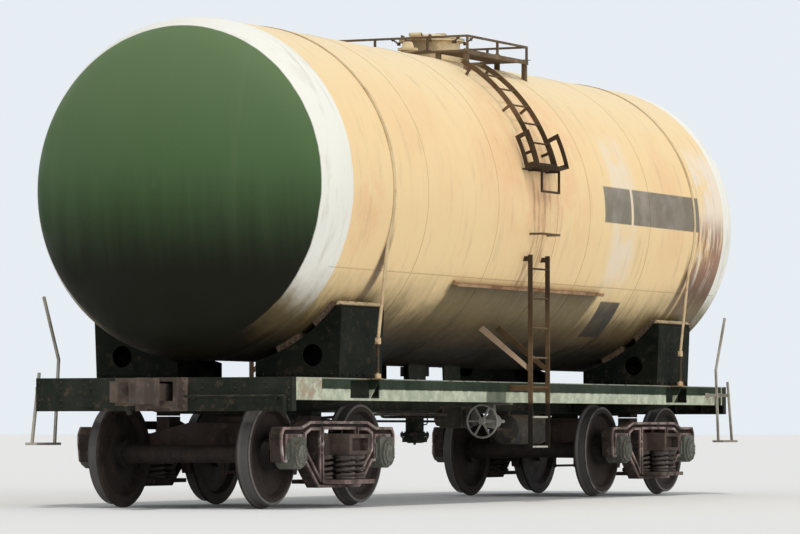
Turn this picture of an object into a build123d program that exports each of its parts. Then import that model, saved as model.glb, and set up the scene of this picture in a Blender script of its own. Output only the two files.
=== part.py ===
from build123d import *
import math
import os

# Four-axle railway tank car on two three-piece bogies, 1520 mm gauge.
# X runs along the car, Y across it, Z up. The origin is on the ground line of the wheel
# flanges under the middle of the car. Lengths are in millimetres, angles in degrees.

os.makedirs("parts", exist_ok=True)

# Running gear
tread_r = 478.5
flange_depth = 28.0
flange_r = tread_r + flange_depth
axle_z = flange_r
wheelbase = 1850.0
base = 7800.0
back_to_back = 1440.0
rim_width = 130.0
flange_width = 33.0
rim_thickness = 72.0
web_thickness = 30.0
hub_r = 135.0
hub_inner_y = 690.0
hub_outer_y = 880.0
seat_r = 97.0
axle_mid_r = 86.0
collar_r = 82.5
journal_r = 65.0
journal_y = 1018.0
axle_half = 1108.0
running_gap = 0.05
seat_gap = 0.3

# Tank
tank_r = 1610.0
tank_z = 2995.0
tank_half = 4800.0
shell_t = 10.0
head_t = 12.0
crown_r = 2.0 * tank_r * 0.9
knuckle_r = 2.0 * tank_r * 0.17
tank_bottom = tank_z - tank_r

# Manhole, lid and platform
hatch_x = 420.0
neck_r = 285.0
neck_t = 12.0
neck_height = 207.0
neck_top = tank_z + tank_r + neck_height
lid_r = 345.0
lid_t = 14.0
lid_gap = 4.0
lid_hinge_r = 395.0
lid_pin_r = 12.0
platform_reach = 760.0
platform_x0 = hatch_x - platform_reach
platform_x1 = hatch_x + platform_reach
platform_half = 770.0
deck_lift = 9.0
deck_z = tank_z + tank_r + deck_lift
deck_t = 22.0
rail_height = 152.0
rail_top = deck_z + deck_t + rail_height
rail_r = 11.0

# Underframe
frame_overhang = 1500.0
coupler_reach = 610.0
pivot_inset = 450.0
frame_half = base / 2 + frame_overhang
pull_half = frame_half + coupler_reach
coupler_pivot = frame_half - pivot_inset
coupler_z = 1078.0
sill_top = 1215.0
sill_bottom = 905.0
sill_web_y = 167.0
sill_web_t = 16.0
sill_flange = 92.0
sill_flange_t = 18.0
side_y = 1350.0
side_bottom = 1007.0
side_flange = 80.0
side_t = 9.0
end_t = 80.0
bolster_half = 240.0
plate_r = 150.0
bowl_floor = 829.0
strap_inset = 100.0
strap_x = base / 2 - strap_inset
saddle_half = 450.0
timber_t = 60.0

# Ladders
ladder_x = -400.0
ladder_half = 215.0
ladder_y = tank_r - 20.0

# Train pipe
pipe_r = 21.0
pipe_y = 310.0
pipe_z = sill_bottom + 45.0
pipe_room = 6.0


# A point on a circle round (u, v), at an angle from the first axis
def on_circle(u, v, radius, angle):
    return (
        u + radius * math.cos(math.radians(angle)),
        v + radius * math.sin(math.radians(angle)),
    )


# A point on either flank of the tank, at an angle above its widest line
def flank(side, radius, angle):
    y, z = on_circle(0, 0, radius, angle)
    return (side * y, z)


# The turn that points a shape outwards there
def outward(side, angle):
    return angle if side > 0 else 180 - angle


# The plane across the car at x, with Y to the right and Z up
def across(x, z=0.0):
    return Plane(origin=(x, 0, z), x_dir=(0, 1, 0), z_dir=(1, 0, 0))


# The plane along the car at y, with X to the right and Z up
def along(y, z=0.0):
    return Plane(origin=(0, y, z), x_dir=(1, 0, 0), z_dir=(0, -1, 0))


# Tank barrel, open under the manhole and over the bottom outlet
outlet_hole_r = 110.0

with BuildPart() as tank_barrel:
    with BuildSketch(across(-tank_half, tank_z)):
        Circle(tank_r)
        Circle(tank_r - shell_t, mode=Mode.SUBTRACT)
    extrude(amount=2 * tank_half)
    with Locations((hatch_x, 0, tank_z + tank_r)):
        Cylinder(neck_r, 200, mode=Mode.SUBTRACT)
    with Locations((0, 0, tank_bottom)):
        Cylinder(outlet_hole_r, 100, mode=Mode.SUBTRACT)
tank_barrel.part.label = "tank_barrel"
export_step(tank_barrel.part, "parts/tank_barrel.step")

# Dished ends: a knuckle arc that runs into a crown arc
crown_x = math.sqrt((crown_r - knuckle_r) ** 2 - (tank_r - knuckle_r) ** 2)
head_depth = crown_r - crown_x
knuckle_angle = math.degrees(math.atan2(tank_r - knuckle_r, crown_x))

for end, name in ((-1, "tank_head_a"), (1, "tank_head_b")):
    with BuildPart() as head:
        with BuildSketch(along(0, tank_z)):
            with BuildLine():
                u0 = end * tank_half
                u1 = end * (tank_half - crown_x)
                v0 = tank_r - knuckle_r
                outer = []
                inner = []
                for angle in (90, (90 + knuckle_angle) / 2, knuckle_angle):
                    p = on_circle(0, v0, knuckle_r, angle)
                    q = on_circle(0, v0, knuckle_r - head_t, angle)
                    outer.append((u0 + end * p[0], p[1]))
                    inner.append((u0 + end * q[0], q[1]))
                for angle in (knuckle_angle / 2, 0):
                    p = on_circle(0, 0, crown_r, angle)
                    q = on_circle(0, 0, crown_r - head_t, angle)
                    outer.append((u1 + end * p[0], p[1]))
                    inner.append((u1 + end * q[0], q[1]))
                ThreePointArc(outer[0], outer[1], outer[2])
                ThreePointArc(outer[2], outer[3], outer[4])
                Line(outer[4], inner[4])
                ThreePointArc(inner[4], inner[3], inner[2])
                ThreePointArc(inner[2], inner[1], inner[0])
                Line(inner[0], outer[0])
            make_face()
        revolve(axis=Axis((0, 0, tank_z), (1, 0, 0)))
    head.part.label = name
    export_step(head.part, f"parts/{name}.step")

# Manhole neck with its flange and the two hinge ears
flange_t = 16.0
ear_y = 60.0
ear_t = 14.0
hinge_z = neck_top + lid_gap + lid_t + 14.0
hinge_x = hatch_x - lid_hinge_r

with BuildPart() as manhole_neck:
    with BuildSketch(Plane.XY.offset(tank_z + tank_r - 60)):
        with Locations((hatch_x, 0)):
            Circle(neck_r + neck_t)
            Circle(neck_r, mode=Mode.SUBTRACT)
    extrude(amount=neck_top - (tank_z + tank_r - 60))
    with BuildSketch(Plane.XY.offset(neck_top - flange_t)):
        with Locations((hatch_x, 0)):
            Circle(lid_r)
            Circle(neck_r, mode=Mode.SUBTRACT)
    extrude(amount=flange_t)
    for side in (-1, 1):
        with BuildSketch(along(side * ear_y + ear_t / 2)):
            with BuildLine():
                Polyline(
                    (hatch_x - lid_r + 15, neck_top - flange_t),
                    (hatch_x - lid_r + 15, neck_top),
                    (hinge_x + 47, neck_top),
                    (hinge_x + 22, hinge_z - 4),
                    (hinge_x + 22, hinge_z + 22),
                    (hinge_x - 22, hinge_z + 22),
                    (hinge_x - 22, hinge_z - 22),
                    (hatch_x - lid_r - 10, neck_top - flange_t),
                    close=True,
                )
            make_face()
        extrude(amount=ear_t)
    with BuildSketch(along(ear_y)):
        with Locations((hinge_x, hinge_z)):
            Circle(lid_pin_r)
    extrude(amount=2 * ear_y)
    with BuildSketch(across(hatch_x - 400, tank_z)):
        Circle(tank_r + seat_gap)
    extrude(amount=800, mode=Mode.SUBTRACT)
manhole_neck.part.label = "manhole_neck"
export_step(manhole_neck.part, "parts/manhole_neck.step")

# Manhole lid, dished, with the knuckle that turns on the neck's pin
lid_z = neck_top + lid_gap
dome_rise = 55.0
dome_r = 280.0
dome_curve = (dome_r**2 + dome_rise**2) / (2 * dome_rise)
knuckle_half = ear_y - ear_t / 2 - 2.0

with BuildPart() as manhole_lid:
    with BuildSketch(along(0, lid_z)):
        with BuildLine():
            Polyline(
                (hatch_x, 0),
                (hatch_x + neck_r + 4, 0),
                (hatch_x + neck_r + 4, -lid_gap + 0.1),
                (hatch_x + neck_r + 22, -lid_gap + 0.1),
                (hatch_x + neck_r + 22, 0),
                (hatch_x + lid_r, 0),
                (hatch_x + lid_r, lid_t),
                (hatch_x + dome_r, lid_t),
            )
            RadiusArc((hatch_x + dome_r, lid_t), (hatch_x, lid_t + dome_rise), -dome_curve)
            Line((hatch_x, lid_t + dome_rise), (hatch_x, 0))
        make_face()
    revolve(axis=Axis((hatch_x, 0, 0), (0, 0, 1)))
    with BuildSketch(along(knuckle_half)):
        with Locations((hinge_x, hinge_z)):
            Circle(lid_pin_r + 13)
        with BuildLine():
            Polyline(
                (hinge_x, hinge_z - 12),
                (hatch_x - lid_r + 40, lid_z + 2),
                (hatch_x - lid_r + 40, lid_z + lid_t + 12),
                (hinge_x, hinge_z + 20),
                close=True,
            )
        make_face()
        with Locations((hinge_x, hinge_z)):
            Circle(lid_pin_r + running_gap, mode=Mode.SUBTRACT)
    extrude(amount=2 * knuckle_half)
manhole_lid.part.label = "manhole_lid"
export_step(manhole_lid.part, "parts/manhole_lid.step")

# Relief and inlet valves on top of the tank, one at each side of the manhole
valve_off = 585.0
valve_r = 75.0
valve_flange_r = 105.0
valve_flange_t = 24.0
valve_neck = 60.0
valve_cap = 66.0

with BuildPart() as relief_valves:
    for x in (hatch_x - valve_off, hatch_x + valve_off):
        with BuildSketch(Plane.XY.offset(tank_z + tank_r - 20)):
            with Locations((x, 0)):
                Circle(valve_r)
        extrude(amount=20 + valve_neck)
        with BuildSketch(Plane.XY.offset(tank_z + tank_r + valve_neck)):
            with Locations((x, 0)):
                Circle(valve_flange_r)
        extrude(amount=valve_flange_t)
        with BuildSketch(Plane.XY.offset(tank_z + tank_r + valve_neck + valve_flange_t)):
            with Locations((x, 0)):
                Circle(valve_r - 5)
        extrude(amount=valve_cap, taper=20)
    with BuildSketch(across(hatch_x - valve_off - 200, tank_z)):
        Circle(tank_r + seat_gap)
    extrude(amount=2 * valve_off + 400, mode=Mode.SUBTRACT)
relief_valves.part.label = "relief_valves"
export_step(relief_valves.part, "parts/relief_valves.step")

# Platform deck round the manhole: a bar grating in a frame of angles, on legs that stand
# on the shell
deck_inner_y = 380.0
frame_w = 60.0
skirt_t = 8.0
skirt_h = 46.0
leg_x = 40.0
leg_y = 50.0
leg_inner_y = 420.0
slot_w = 34.0
slot_pitch = 54.0
slot_long = 310.0
platform_long = platform_x1 - platform_x0
slot_count = int((platform_long - 2 * frame_w) / slot_pitch)
slot_y = (deck_inner_y + platform_half) / 2

with BuildPart() as platform_deck:
    with BuildSketch(Plane.XY.offset(deck_z)):
        with Locations((hatch_x, 0)):
            Rectangle(platform_long, 2 * platform_half)
            Rectangle(platform_long - 2 * frame_w, 2 * deck_inner_y, mode=Mode.SUBTRACT)
            with GridLocations(slot_pitch, 2 * slot_y, slot_count, 2):
                Rectangle(slot_w, slot_long, mode=Mode.SUBTRACT)
    extrude(amount=deck_t)
    for side in (-1, 1):
        with Locations((hatch_x, side * (platform_half - skirt_t / 2), deck_z + deck_t - skirt_h / 2)):
            Box(platform_long, skirt_t, skirt_h)
        for x in (platform_x0 + frame_w / 2, platform_x1 - frame_w / 2):
            for y, depth in ((platform_half - leg_y / 2 - skirt_t, 420), (leg_inner_y, 180)):
                with Locations((x, side * y, deck_z + 10 - depth / 2)):
                    Box(leg_x, leg_y, depth)
    with BuildSketch(across(platform_x0 - 10, tank_z)):
        Circle(tank_r + seat_gap)
    extrude(amount=platform_long + 20, mode=Mode.SUBTRACT)
platform_deck.part.label = "platform_deck"
export_step(platform_deck.part, "parts/platform_deck.step")

# Low rails across both ends of the platform and along its outer edges
rail_inset = 14.0
rail_y = platform_half - rail_inset
rail_z0 = deck_z + deck_t + seat_gap
rail_mid_y = 300.0

with BuildPart() as platform_rails:
    for x in (platform_x0 + rail_inset, platform_x1 - rail_inset):
        for y in (-rail_y, -rail_mid_y, rail_mid_y, rail_y):
            with Locations((x, y, (rail_z0 + rail_top) / 2)):
                Box(2 * rail_r, 2 * rail_r, rail_top - rail_z0)
        with Locations((x, 0, rail_top - rail_r)):
            Box(2 * rail_r, 2 * rail_y + 2 * rail_r, 2 * rail_r)
    for side in (-1, 1):
        with Locations((hatch_x, side * rail_y, (rail_z0 + rail_top) / 2)):
            Box(2 * rail_r, 2 * rail_r, rail_top - rail_z0)
        with Locations((hatch_x, side * rail_y, rail_top - rail_r)):
            Box(platform_long - 2 * rail_inset, 2 * rail_r, 2 * rail_r)
platform_rails.part.label = "platform_rails"
export_step(platform_rails.part, "parts/platform_rails.step")

# Ladders on both sides: an upright part from the step to the flank, stirrups on the widest
# line of the tank and a curved part up to the platform, with a wide tray at its foot
upright_bottom = 540.0
upright_top = tank_z - 495.0
rung_r = 10.0
rung_pitch = 300.0
rung_count = 7
stile_t = 10.0
stile_w = 50.0
curve_in = 80.0
curve_out = 130.0
curve_low = 13.0
curve_high = 61.0
foot_angles = (curve_low + 6, (curve_low + curve_high) / 2, curve_high - 4)
bracket_z = sill_top - 60.0
stirrup_bar = 22.0
stirrup_reach = 120.0
stirrup_z = tank_z + (tank_r + stirrup_reach) * math.sin(math.radians(curve_low)) - 30.0
stirrup_drop = 215.0
stub_z = tank_z - 285.0
tray_half = 375.0
tray_high = 25.0
tray_out = 200.0
tray_t = 10.0
tray_band = 42.0
brace_angle = -51.0
brace_w = 2.4

for side, name in ((-1, "ladder_near"), (1, "ladder_far")):
    with BuildPart() as ladder:
        stiles = (ladder_x - ladder_half, ladder_x + ladder_half)
        for x in stiles:
            with Locations((x, side * ladder_y, (upright_bottom + upright_top) / 2)):
                Box(stile_t, stile_w, upright_top - upright_bottom)
            with Locations((x, side * (ladder_y + side_y + seat_gap) / 2, bracket_z)):
                Box(stile_t, ladder_y - side_y - seat_gap, 60)
            with Locations((x, side * (ladder_y - 60), upright_top - 40)):
                Box(stile_t, 160, stile_w)
            with BuildSketch(across(x - stile_t / 2, tank_z)):
                with BuildLine():
                    foot_r = tank_r + 2 * seat_gap
                    Polyline(
                        flank(side, foot_r, brace_angle),
                        flank(side, foot_r, brace_angle + brace_w),
                        (side * ladder_y, bracket_z + 205 - tank_z),
                        (side * ladder_y, bracket_z + 150 - tank_z),
                        close=True,
                    )
                make_face()
            extrude(amount=stile_t)
        for step in range(rung_count):
            z = upright_bottom + 20 + step * rung_pitch
            with Locations(Location((ladder_x, side * ladder_y, z), (0, 90, 0))):
                Cylinder(rung_r, 2 * ladder_half)
        for z, drop in ((stub_z, 0.0), (stirrup_z, stirrup_drop)):
            reach = tank_r + stirrup_reach
            for x in stiles:
                with Locations((x, side * (reach - 130), z)):
                    Box(16, 260, stirrup_bar)
                if drop:
                    with Locations((x, side * (reach - stirrup_bar / 2), z - drop / 2)):
                        Box(16, stirrup_bar, drop)
            with Locations((ladder_x, side * (reach - stirrup_bar / 2), z - drop)):
                Box(2 * ladder_half + 16, stirrup_bar, stirrup_bar)
        with BuildSketch(across(ladder_x - ladder_half - 20, tank_z)):
            Circle(tank_r + seat_gap)
        extrude(amount=2 * ladder_half + 40, mode=Mode.SUBTRACT)
        for x in stiles:
            with BuildSketch(across(x - stile_t / 2, tank_z)):
                with BuildLine():
                    low, mid, high = curve_low, (curve_low + curve_high) / 2, curve_high
                    r0 = tank_r + curve_in
                    r1 = tank_r + curve_out
                    ThreePointArc(flank(side, r0, low), flank(side, r0, mid), flank(side, r0, high))
                    Line(flank(side, r0, high), flank(side, r1, high))
                    ThreePointArc(flank(side, r1, high), flank(side, r1, mid), flank(side, r1, low))
                    Line(flank(side, r1, low), flank(side, r0, low))
                make_face()
                for angle in foot_angles:
                    y, z = flank(side, tank_r + 2 * seat_gap + 50, angle)
                    with Locations(Location((y, z), outward(side, angle))):
                        Rectangle(100, 30)
            extrude(amount=stile_t)
        for step in range(rung_count):
            angle = curve_low + 1.5 + step * (curve_high - curve_low - 3) / (rung_count - 1)
            y, z = flank(side, tank_r + (curve_in + curve_out) / 2, angle)
            with Locations(Location((ladder_x, y, tank_z + z), (0, 90, 0))):
                Cylinder(rung_r, 2 * ladder_half)
        for x in (ladder_x - tray_half, ladder_x + tray_half - tray_t):
            with BuildSketch(across(x, tank_z)):
                for r0, r1, low, high, how in (
                    (curve_in - tray_band, tray_out, curve_low, tray_high, Mode.ADD),
                    (curve_in, tray_out - tray_band, curve_low + 1.5, tray_high - 1.5, Mode.SUBTRACT),
                ):
                    mid = (low + high) / 2
                    r0 = tank_r + r0
                    r1 = tank_r + r1
                    with BuildLine():
                        ThreePointArc(flank(side, r0, low), flank(side, r0, mid), flank(side, r0, high))
                        Line(flank(side, r0, high), flank(side, r1, high))
                        ThreePointArc(flank(side, r1, high), flank(side, r1, mid), flank(side, r1, low))
                        Line(flank(side, r1, low), flank(side, r0, low))
                    make_face(mode=how)
            extrude(amount=tray_t)
        y, z = flank(side, tank_r + seat_gap + tray_out / 2, curve_low)
        with Locations(Location((ladder_x, y, tank_z + z), (outward(side, curve_low), 0, 0))):
            Box(2 * tray_half, tray_out, tray_t)
    ladder.part.label = name
    export_step(ladder.part, f"parts/{name}.step")

# Drip shelves along both flanks, each with a closed near end
shelf_x0 = -2050.0
shelf_x1 = 1600.0
shelf_angle = -30.5
shelf_w = 70.0
shelf_t = 8.0
shelf_lip = 32.0

with BuildPart() as drip_shelves:
    for side in (-1, 1):
        turn = outward(side, shelf_angle)
        y, z = flank(side, tank_r + seat_gap + shelf_w / 2, shelf_angle)
        for x, long, lip_w in ((shelf_x0, shelf_x1 - shelf_x0, shelf_t), (shelf_x0, shelf_t, shelf_w)):
            with BuildSketch(across(x, tank_z)):
                with Locations(Location((y, z), turn)):
                    Rectangle(shelf_w, shelf_t)
                    with Locations(((shelf_w - lip_w) / 2, side * (shelf_lip - shelf_t) / 2)):
                        Rectangle(lip_w, shelf_lip)
            extrude(amount=long)
drip_shelves.part.label = "drip_shelves"
export_step(drip_shelves.part, "parts/drip_shelves.step")

# Hold-down straps: a band over the shell whose ends hang down to screws on the side sills
strap_w = 50.0
strap_t = 8.0
strap_off = -17.0
strap_y = side_y + 85.0
anchor_z = sill_top + seat_gap
strap_leg_z = sill_top + 345.0
buckle = 60.0
screw_r = 14.0

with BuildPart() as tank_straps:
    for x in (-strap_x, strap_x):
        with BuildSketch(across(x - strap_w / 2, tank_z)):
            Circle(tank_r + seat_gap + strap_t)
            Circle(tank_r + seat_gap, mode=Mode.SUBTRACT)
            y, z = flank(1, tank_r + seat_gap, strap_off)
            with Locations((0, z - tank_r)):
                Rectangle(3 * tank_r, 2 * tank_r, mode=Mode.SUBTRACT)
            for side in (-1, 1):
                with BuildLine():
                    Polyline(
                        (side * (y - 4), z + 14),
                        (side * (y + strap_t + 2), z + 14),
                        (side * (strap_y + 5), strap_leg_z - tank_z),
                        (side * (strap_y - 5), strap_leg_z - tank_z),
                        close=True,
                    )
                make_face()
        extrude(amount=strap_w)
        for side in (-1, 1):
            with Locations((x, side * strap_y, strap_leg_z + 10)):
                Box(buckle, 36, buckle)
            with Locations((x, side * strap_y, (strap_leg_z + anchor_z) / 2)):
                Cylinder(screw_r, strap_leg_z - anchor_z)
            with BuildSketch(Plane.XY.offset(anchor_z)):
                with Locations((x, side * strap_y)):
                    RegularPolygon(30, 6)
            extrude(amount=44)
        with BuildSketch(across(x - strap_w, tank_z)):
            Circle(tank_r + seat_gap)
        extrude(amount=2 * strap_w, mode=Mode.SUBTRACT)
tank_straps.part.label = "tank_straps"
export_step(tank_straps.part, "parts/tank_straps.step")

# Saddles over the bolsters: on each side three ribs with a round hole, a cradle plate with
# an edge strip, an outer side plate and an inner one
saddle_low = -70.0
saddle_high = -39.5
cradle_in = tank_r + timber_t + seat_gap
cradle_t = 12.0
rib_t = 16.0
saddle_in_y = 420.0
saddle_out_y = side_y - 50.0
saddle_hole_r = 105.0
saddle_hole_y = 1020.0
saddle_hole_z = sill_top + 215.0
strip_out = 55.0

for end, name in ((-1, "saddle_a"), (1, "saddle_b")):
    with BuildPart() as saddle:
        x0 = end * base / 2
        for side in (-1, 1):
            top = flank(side, cradle_in + cradle_t, saddle_high)
            crown = (top[0], tank_z + top[1])
            for x in (x0 - saddle_half, x0 - rib_t / 2, x0 + saddle_half - rib_t):
                with BuildSketch(across(x)):
                    with BuildLine():
                        Polyline(
                            (side * saddle_in_y, sill_top),
                            (side * saddle_out_y, sill_top),
                            (crown[0] + side * 30, crown[1] - 60),
                            crown,
                            (side * saddle_in_y, tank_z - 0.8 * tank_r),
                            close=True,
                        )
                    make_face()
                    with Locations((side * saddle_hole_y, saddle_hole_z)):
                        Circle(saddle_hole_r, mode=Mode.SUBTRACT)
                extrude(amount=rib_t)
            with BuildSketch(across(x0 - saddle_half)):
                with BuildLine():
                    Polyline(
                        (side * (saddle_out_y - 10), sill_top),
                        (side * saddle_out_y, sill_top),
                        (crown[0] + side * 30, crown[1] - 60),
                        crown,
                        (crown[0] - side * 12, crown[1]),
                        (crown[0] + side * 18, crown[1] - 60),
                        close=True,
                    )
                make_face()
                with Locations((side * (saddle_in_y + 80), sill_top + 60)):
                    Rectangle(12, 120)
            extrude(amount=2 * saddle_half)
            with BuildSketch(across(x0 - saddle_half, tank_z)):
                Circle(cradle_in + cradle_t)
                Circle(cradle_in, mode=Mode.SUBTRACT)
                low = flank(side, 2 * tank_r, saddle_low)
                high = flank(side, 2 * tank_r, saddle_high)
                with BuildLine():
                    Polyline((0, 0), low, high, close=True)
                make_face(mode=Mode.INTERSECT)
                y, z = flank(side, cradle_in + strip_out / 2, saddle_high)
                with Locations(Location((y, z), outward(side, saddle_high))):
                    Rectangle(strip_out, 12)
            extrude(amount=2 * saddle_half)
        with BuildSketch(across(x0 - saddle_half - 1, tank_z)):
            Circle(cradle_in)
        extrude(amount=2 * saddle_half + 2, mode=Mode.SUBTRACT)
    saddle.part.label = name
    export_step(saddle.part, f"parts/{name}.step")

# Timbers between the cradle plates and the shell
with BuildPart() as saddle_timbers:
    for x0 in (-base / 2, base / 2):
        for side in (-1, 1):
            for a0, a1 in ((-67.0, -57.0), (-51.0, -41.0)):
                with BuildSketch(across(x0 - saddle_half + 10, tank_z)):
                    Circle(cradle_in)
                    Circle(tank_r + seat_gap, mode=Mode.SUBTRACT)
                    with BuildLine():
                        Polyline(
                            (0, 0), flank(side, 2 * tank_r, a0), flank(side, 2 * tank_r, a1), close=True
                        )
                    make_face(mode=Mode.INTERSECT)
                extrude(amount=2 * saddle_half - 20)
saddle_timbers.part.label = "saddle_timbers"
export_step(saddle_timbers.part, "parts/saddle_timbers.step")

# Feet that hold the tank to the centre sill at the middle of the car
feet_half = 620.0
with BuildPart() as centre_feet:
    for end in (-1, 1):
        for side in (-1, 1):
            with Locations((end * 420, side * 230, sill_top + seat_gap + 8)):
                Box(400, 90, 16)
            with Locations((end * 420, side * 225, sill_top + 130)):
                Box(400, 16, 240)
    with BuildSketch(across(-feet_half - 10, tank_z)):
        Circle(tank_r + seat_gap)
    extrude(amount=2 * feet_half + 20, mode=Mode.SUBTRACT)
centre_feet.part.label = "centre_feet"
export_step(centre_feet.part, "parts/centre_feet.step")

# Centre sill: two webs with outward flanges under one cover
sill_half = frame_half - end_t
cover_t = 16.0

with BuildPart() as centre_sill_webs:
    for side in (-1, 1):
        with BuildSketch(across(-sill_half)):
            with BuildLine():
                Polyline(
                    (side * sill_web_y, sill_bottom),
                    (side * (sill_web_y + sill_web_t + sill_flange), sill_bottom),
                    (side * (sill_web_y + sill_web_t + sill_flange), sill_bottom + sill_flange_t),
                    (side * (sill_web_y + sill_web_t), sill_bottom + sill_flange_t),
                    (side * (sill_web_y + sill_web_t), sill_top - cover_t),
                    (side * sill_web_y, sill_top - cover_t),
                    close=True,
                )
            make_face()
        extrude(amount=2 * sill_half)
centre_sill_webs.part.label = "centre_sill_webs"
export_step(centre_sill_webs.part, "parts/centre_sill_webs.step")

outlet_r = 95.0
outlet_room = 25.0
with BuildPart() as centre_sill_cover:
    with BuildSketch(Plane.XY.offset(sill_top - cover_t)):
        Rectangle(2 * sill_half, 2 * (sill_web_y + sill_web_t + 92))
        Circle(outlet_r + outlet_room, mode=Mode.SUBTRACT)
    extrude(amount=cover_t)
centre_sill_cover.part.label = "centre_sill_cover"
export_step(centre_sill_cover.part, "parts/centre_sill_cover.step")

# Body bolsters: tapered arms over the bogie, with the centre plate that turns in the bowl
arm_y = sill_web_y + sill_web_t + seat_gap
arm_out = side_y - side_flange - seat_gap
flange_out = sill_web_y + sill_web_t + sill_flange + seat_gap
bottom_t = 20.0
bearer_y = 762.0
bearer_gap = 8.0
bearer_top = bowl_floor + 30.0

for end, name in ((-1, "bolster_a"), (1, "bolster_b")):
    with BuildPart() as bolster:
        x0 = end * base / 2
        for side in (-1, 1):
            with BuildSketch(across(x0 - bolster_half)):
                with BuildLine():
                    Polyline(
                        (side * arm_y, sill_bottom + sill_flange_t + seat_gap),
                        (side * flange_out, sill_bottom + sill_flange_t + seat_gap),
                        (side * flange_out, sill_bottom - bottom_t),
                        (side * 700, sill_bottom - bottom_t),
                        (side * arm_out, side_bottom + side_t),
                        (side * arm_out, sill_top),
                        (side * (flange_out + 20), sill_top),
                        (side * (flange_out + 20), sill_top - cover_t - seat_gap),
                        (side * arm_y, sill_top - cover_t - seat_gap),
                        close=True,
                    )
                make_face()
            extrude(amount=2 * bolster_half)
            with Locations((x0, side * bearer_y, (sill_bottom + bearer_top + bearer_gap) / 2)):
                Box(200, 150, sill_bottom - bearer_top - bearer_gap)
        with Locations((x0, 0, sill_bottom - seat_gap - bottom_t / 2)):
            Box(2 * bolster_half, 2 * 420, bottom_t)
        with Locations((x0, 0, (bowl_floor + seat_gap + sill_bottom - bottom_t) / 2)):
            Cylinder(plate_r, sill_bottom - bottom_t - bowl_floor - seat_gap)
        with Locations(Location((x0, pipe_y, pipe_z), (0, 90, 0))):
            Cylinder(pipe_r + pipe_room, 2 * bolster_half + 2, mode=Mode.SUBTRACT)
    bolster.part.label = name
    export_step(bolster.part, f"parts/{name}.step")

# Side sills: channels with their webs outwards, open over the bolster ends, with the
# brackets that hold the strap screws
sill_window = 620.0
window_edge = 22.0
strap_plate_w = 110.0
strap_plate_t = 14.0
strap_plate_out = strap_y + 40.0

with BuildPart() as side_sills:
    for side in (-1, 1):
        with BuildSketch(across(-sill_half)):
            with BuildLine():
                Polyline(
                    (side * (side_y - side_flange), side_bottom),
                    (side * side_y, side_bottom),
                    (side * side_y, sill_top),
                    (side * (side_y - side_flange), sill_top),
                    (side * (side_y - side_flange), sill_top - side_t),
                    (side * (side_y - side_t), sill_top - side_t),
                    (side * (side_y - side_t), side_bottom + side_t),
                    (side * (side_y - side_flange), side_bottom + side_t),
                    close=True,
                )
            make_face()
        extrude(amount=2 * sill_half)
        for x in (-base / 2, base / 2):
            with Locations((x, side * side_y, (side_bottom + sill_top) / 2)):
                Box(
                    sill_window,
                    4 * side_t,
                    sill_top - side_bottom - 2 * window_edge,
                    mode=Mode.SUBTRACT,
                )
        for x in (-strap_x, strap_x):
            plate_in = side_y - side_t / 2
            with Locations((x, side * (plate_in + strap_plate_out) / 2, sill_top - strap_plate_t / 2)):
                Box(strap_plate_w, strap_plate_out - plate_in, strap_plate_t)
            with BuildSketch(across(x - strap_plate_t / 2)):
                with BuildLine():
                    Polyline(
                        (side * (side_y - side_t / 2), side_bottom + window_edge - 8),
                        (side * side_y, side_bottom + window_edge - 8),
                        (side * (strap_plate_out - 20), sill_top - strap_plate_t / 2),
                        (side * (side_y - side_t / 2), sill_top - strap_plate_t / 2),
                        close=True,
                    )
                make_face()
            extrude(amount=strap_plate_t)
side_sills.part.label = "side_sills"
export_step(side_sills.part, "parts/side_sills.step")

# Cross members between the centre sill and the side sills
mid_member_x = 1000.0
member_x = (base / 2 - 1350, base / 2 + 1100, mid_member_x)
member_w = 90.0
member_h = 142.0
member_drop = 18.0
member_t = 8.0

with BuildPart() as cross_members:
    for x in (*[-x for x in member_x], *member_x):
        for side in (-1, 1):
            with BuildSketch(along(side * arm_y if side < 0 else arm_out)):
                with BuildLine():
                    x0 = x - member_w / 2
                    x1 = x + member_w / 2
                    z1 = sill_top - member_drop
                    z0 = z1 - member_h
                    Polyline(
                        (x0, z0),
                        (x1, z0),
                        (x1, z0 + member_t),
                        (x0 + member_t, z0 + member_t),
                        (x0 + member_t, z1 - member_t),
                        (x1, z1 - member_t),
                        (x1, z1),
                        (x0, z1),
                        close=True,
                    )
                make_face()
            extrude(amount=arm_out - arm_y)
cross_members.part.label = "cross_members"
export_step(cross_members.part, "parts/cross_members.step")

# End beams, in two halves beside the striker: pressed channels, open inwards, with ribs
beam_in_y = sill_web_y + 30.0
beam_web_t = 12.0
beam_rib_y = (420.0, 760.0, 1080.0)

for end, name in ((-1, "end_beam_a"), (1, "end_beam_b")):
    with BuildPart() as end_beam:
        for side in (-1, 1):
            with BuildSketch(along(-beam_in_y if side < 0 else side_y)) as channel:
                with BuildLine():
                    face_x = end * frame_half
                    back_x = end * (frame_half - end_t)
                    inner_x = end * (frame_half - beam_web_t)
                    Polyline(
                        (face_x, sill_bottom),
                        (face_x, sill_top),
                        (back_x, sill_top),
                        (back_x, sill_top - beam_web_t),
                        (inner_x, sill_top - beam_web_t),
                        (inner_x, sill_bottom + beam_web_t),
                        (back_x, sill_bottom + beam_web_t),
                        (back_x, sill_bottom),
                        close=True,
                    )
                make_face()
            extrude(amount=side_y - beam_in_y)
            for y in (beam_in_y + 6, *beam_rib_y, side_y - 6):
                beam_mid = (end * (frame_half - end_t / 2), side * y, (sill_bottom + sill_top) / 2)
                with Locations(beam_mid):
                    Box(end_t, 12, sill_top - sill_bottom)
        with Locations(Location((end * frame_half, pipe_y, pipe_z), (0, 90, 0))):
            Cylinder(pipe_r + pipe_room, 3 * end_t, mode=Mode.SUBTRACT)
    end_beam.part.label = name
    export_step(end_beam.part, f"parts/{name}.step")

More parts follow.
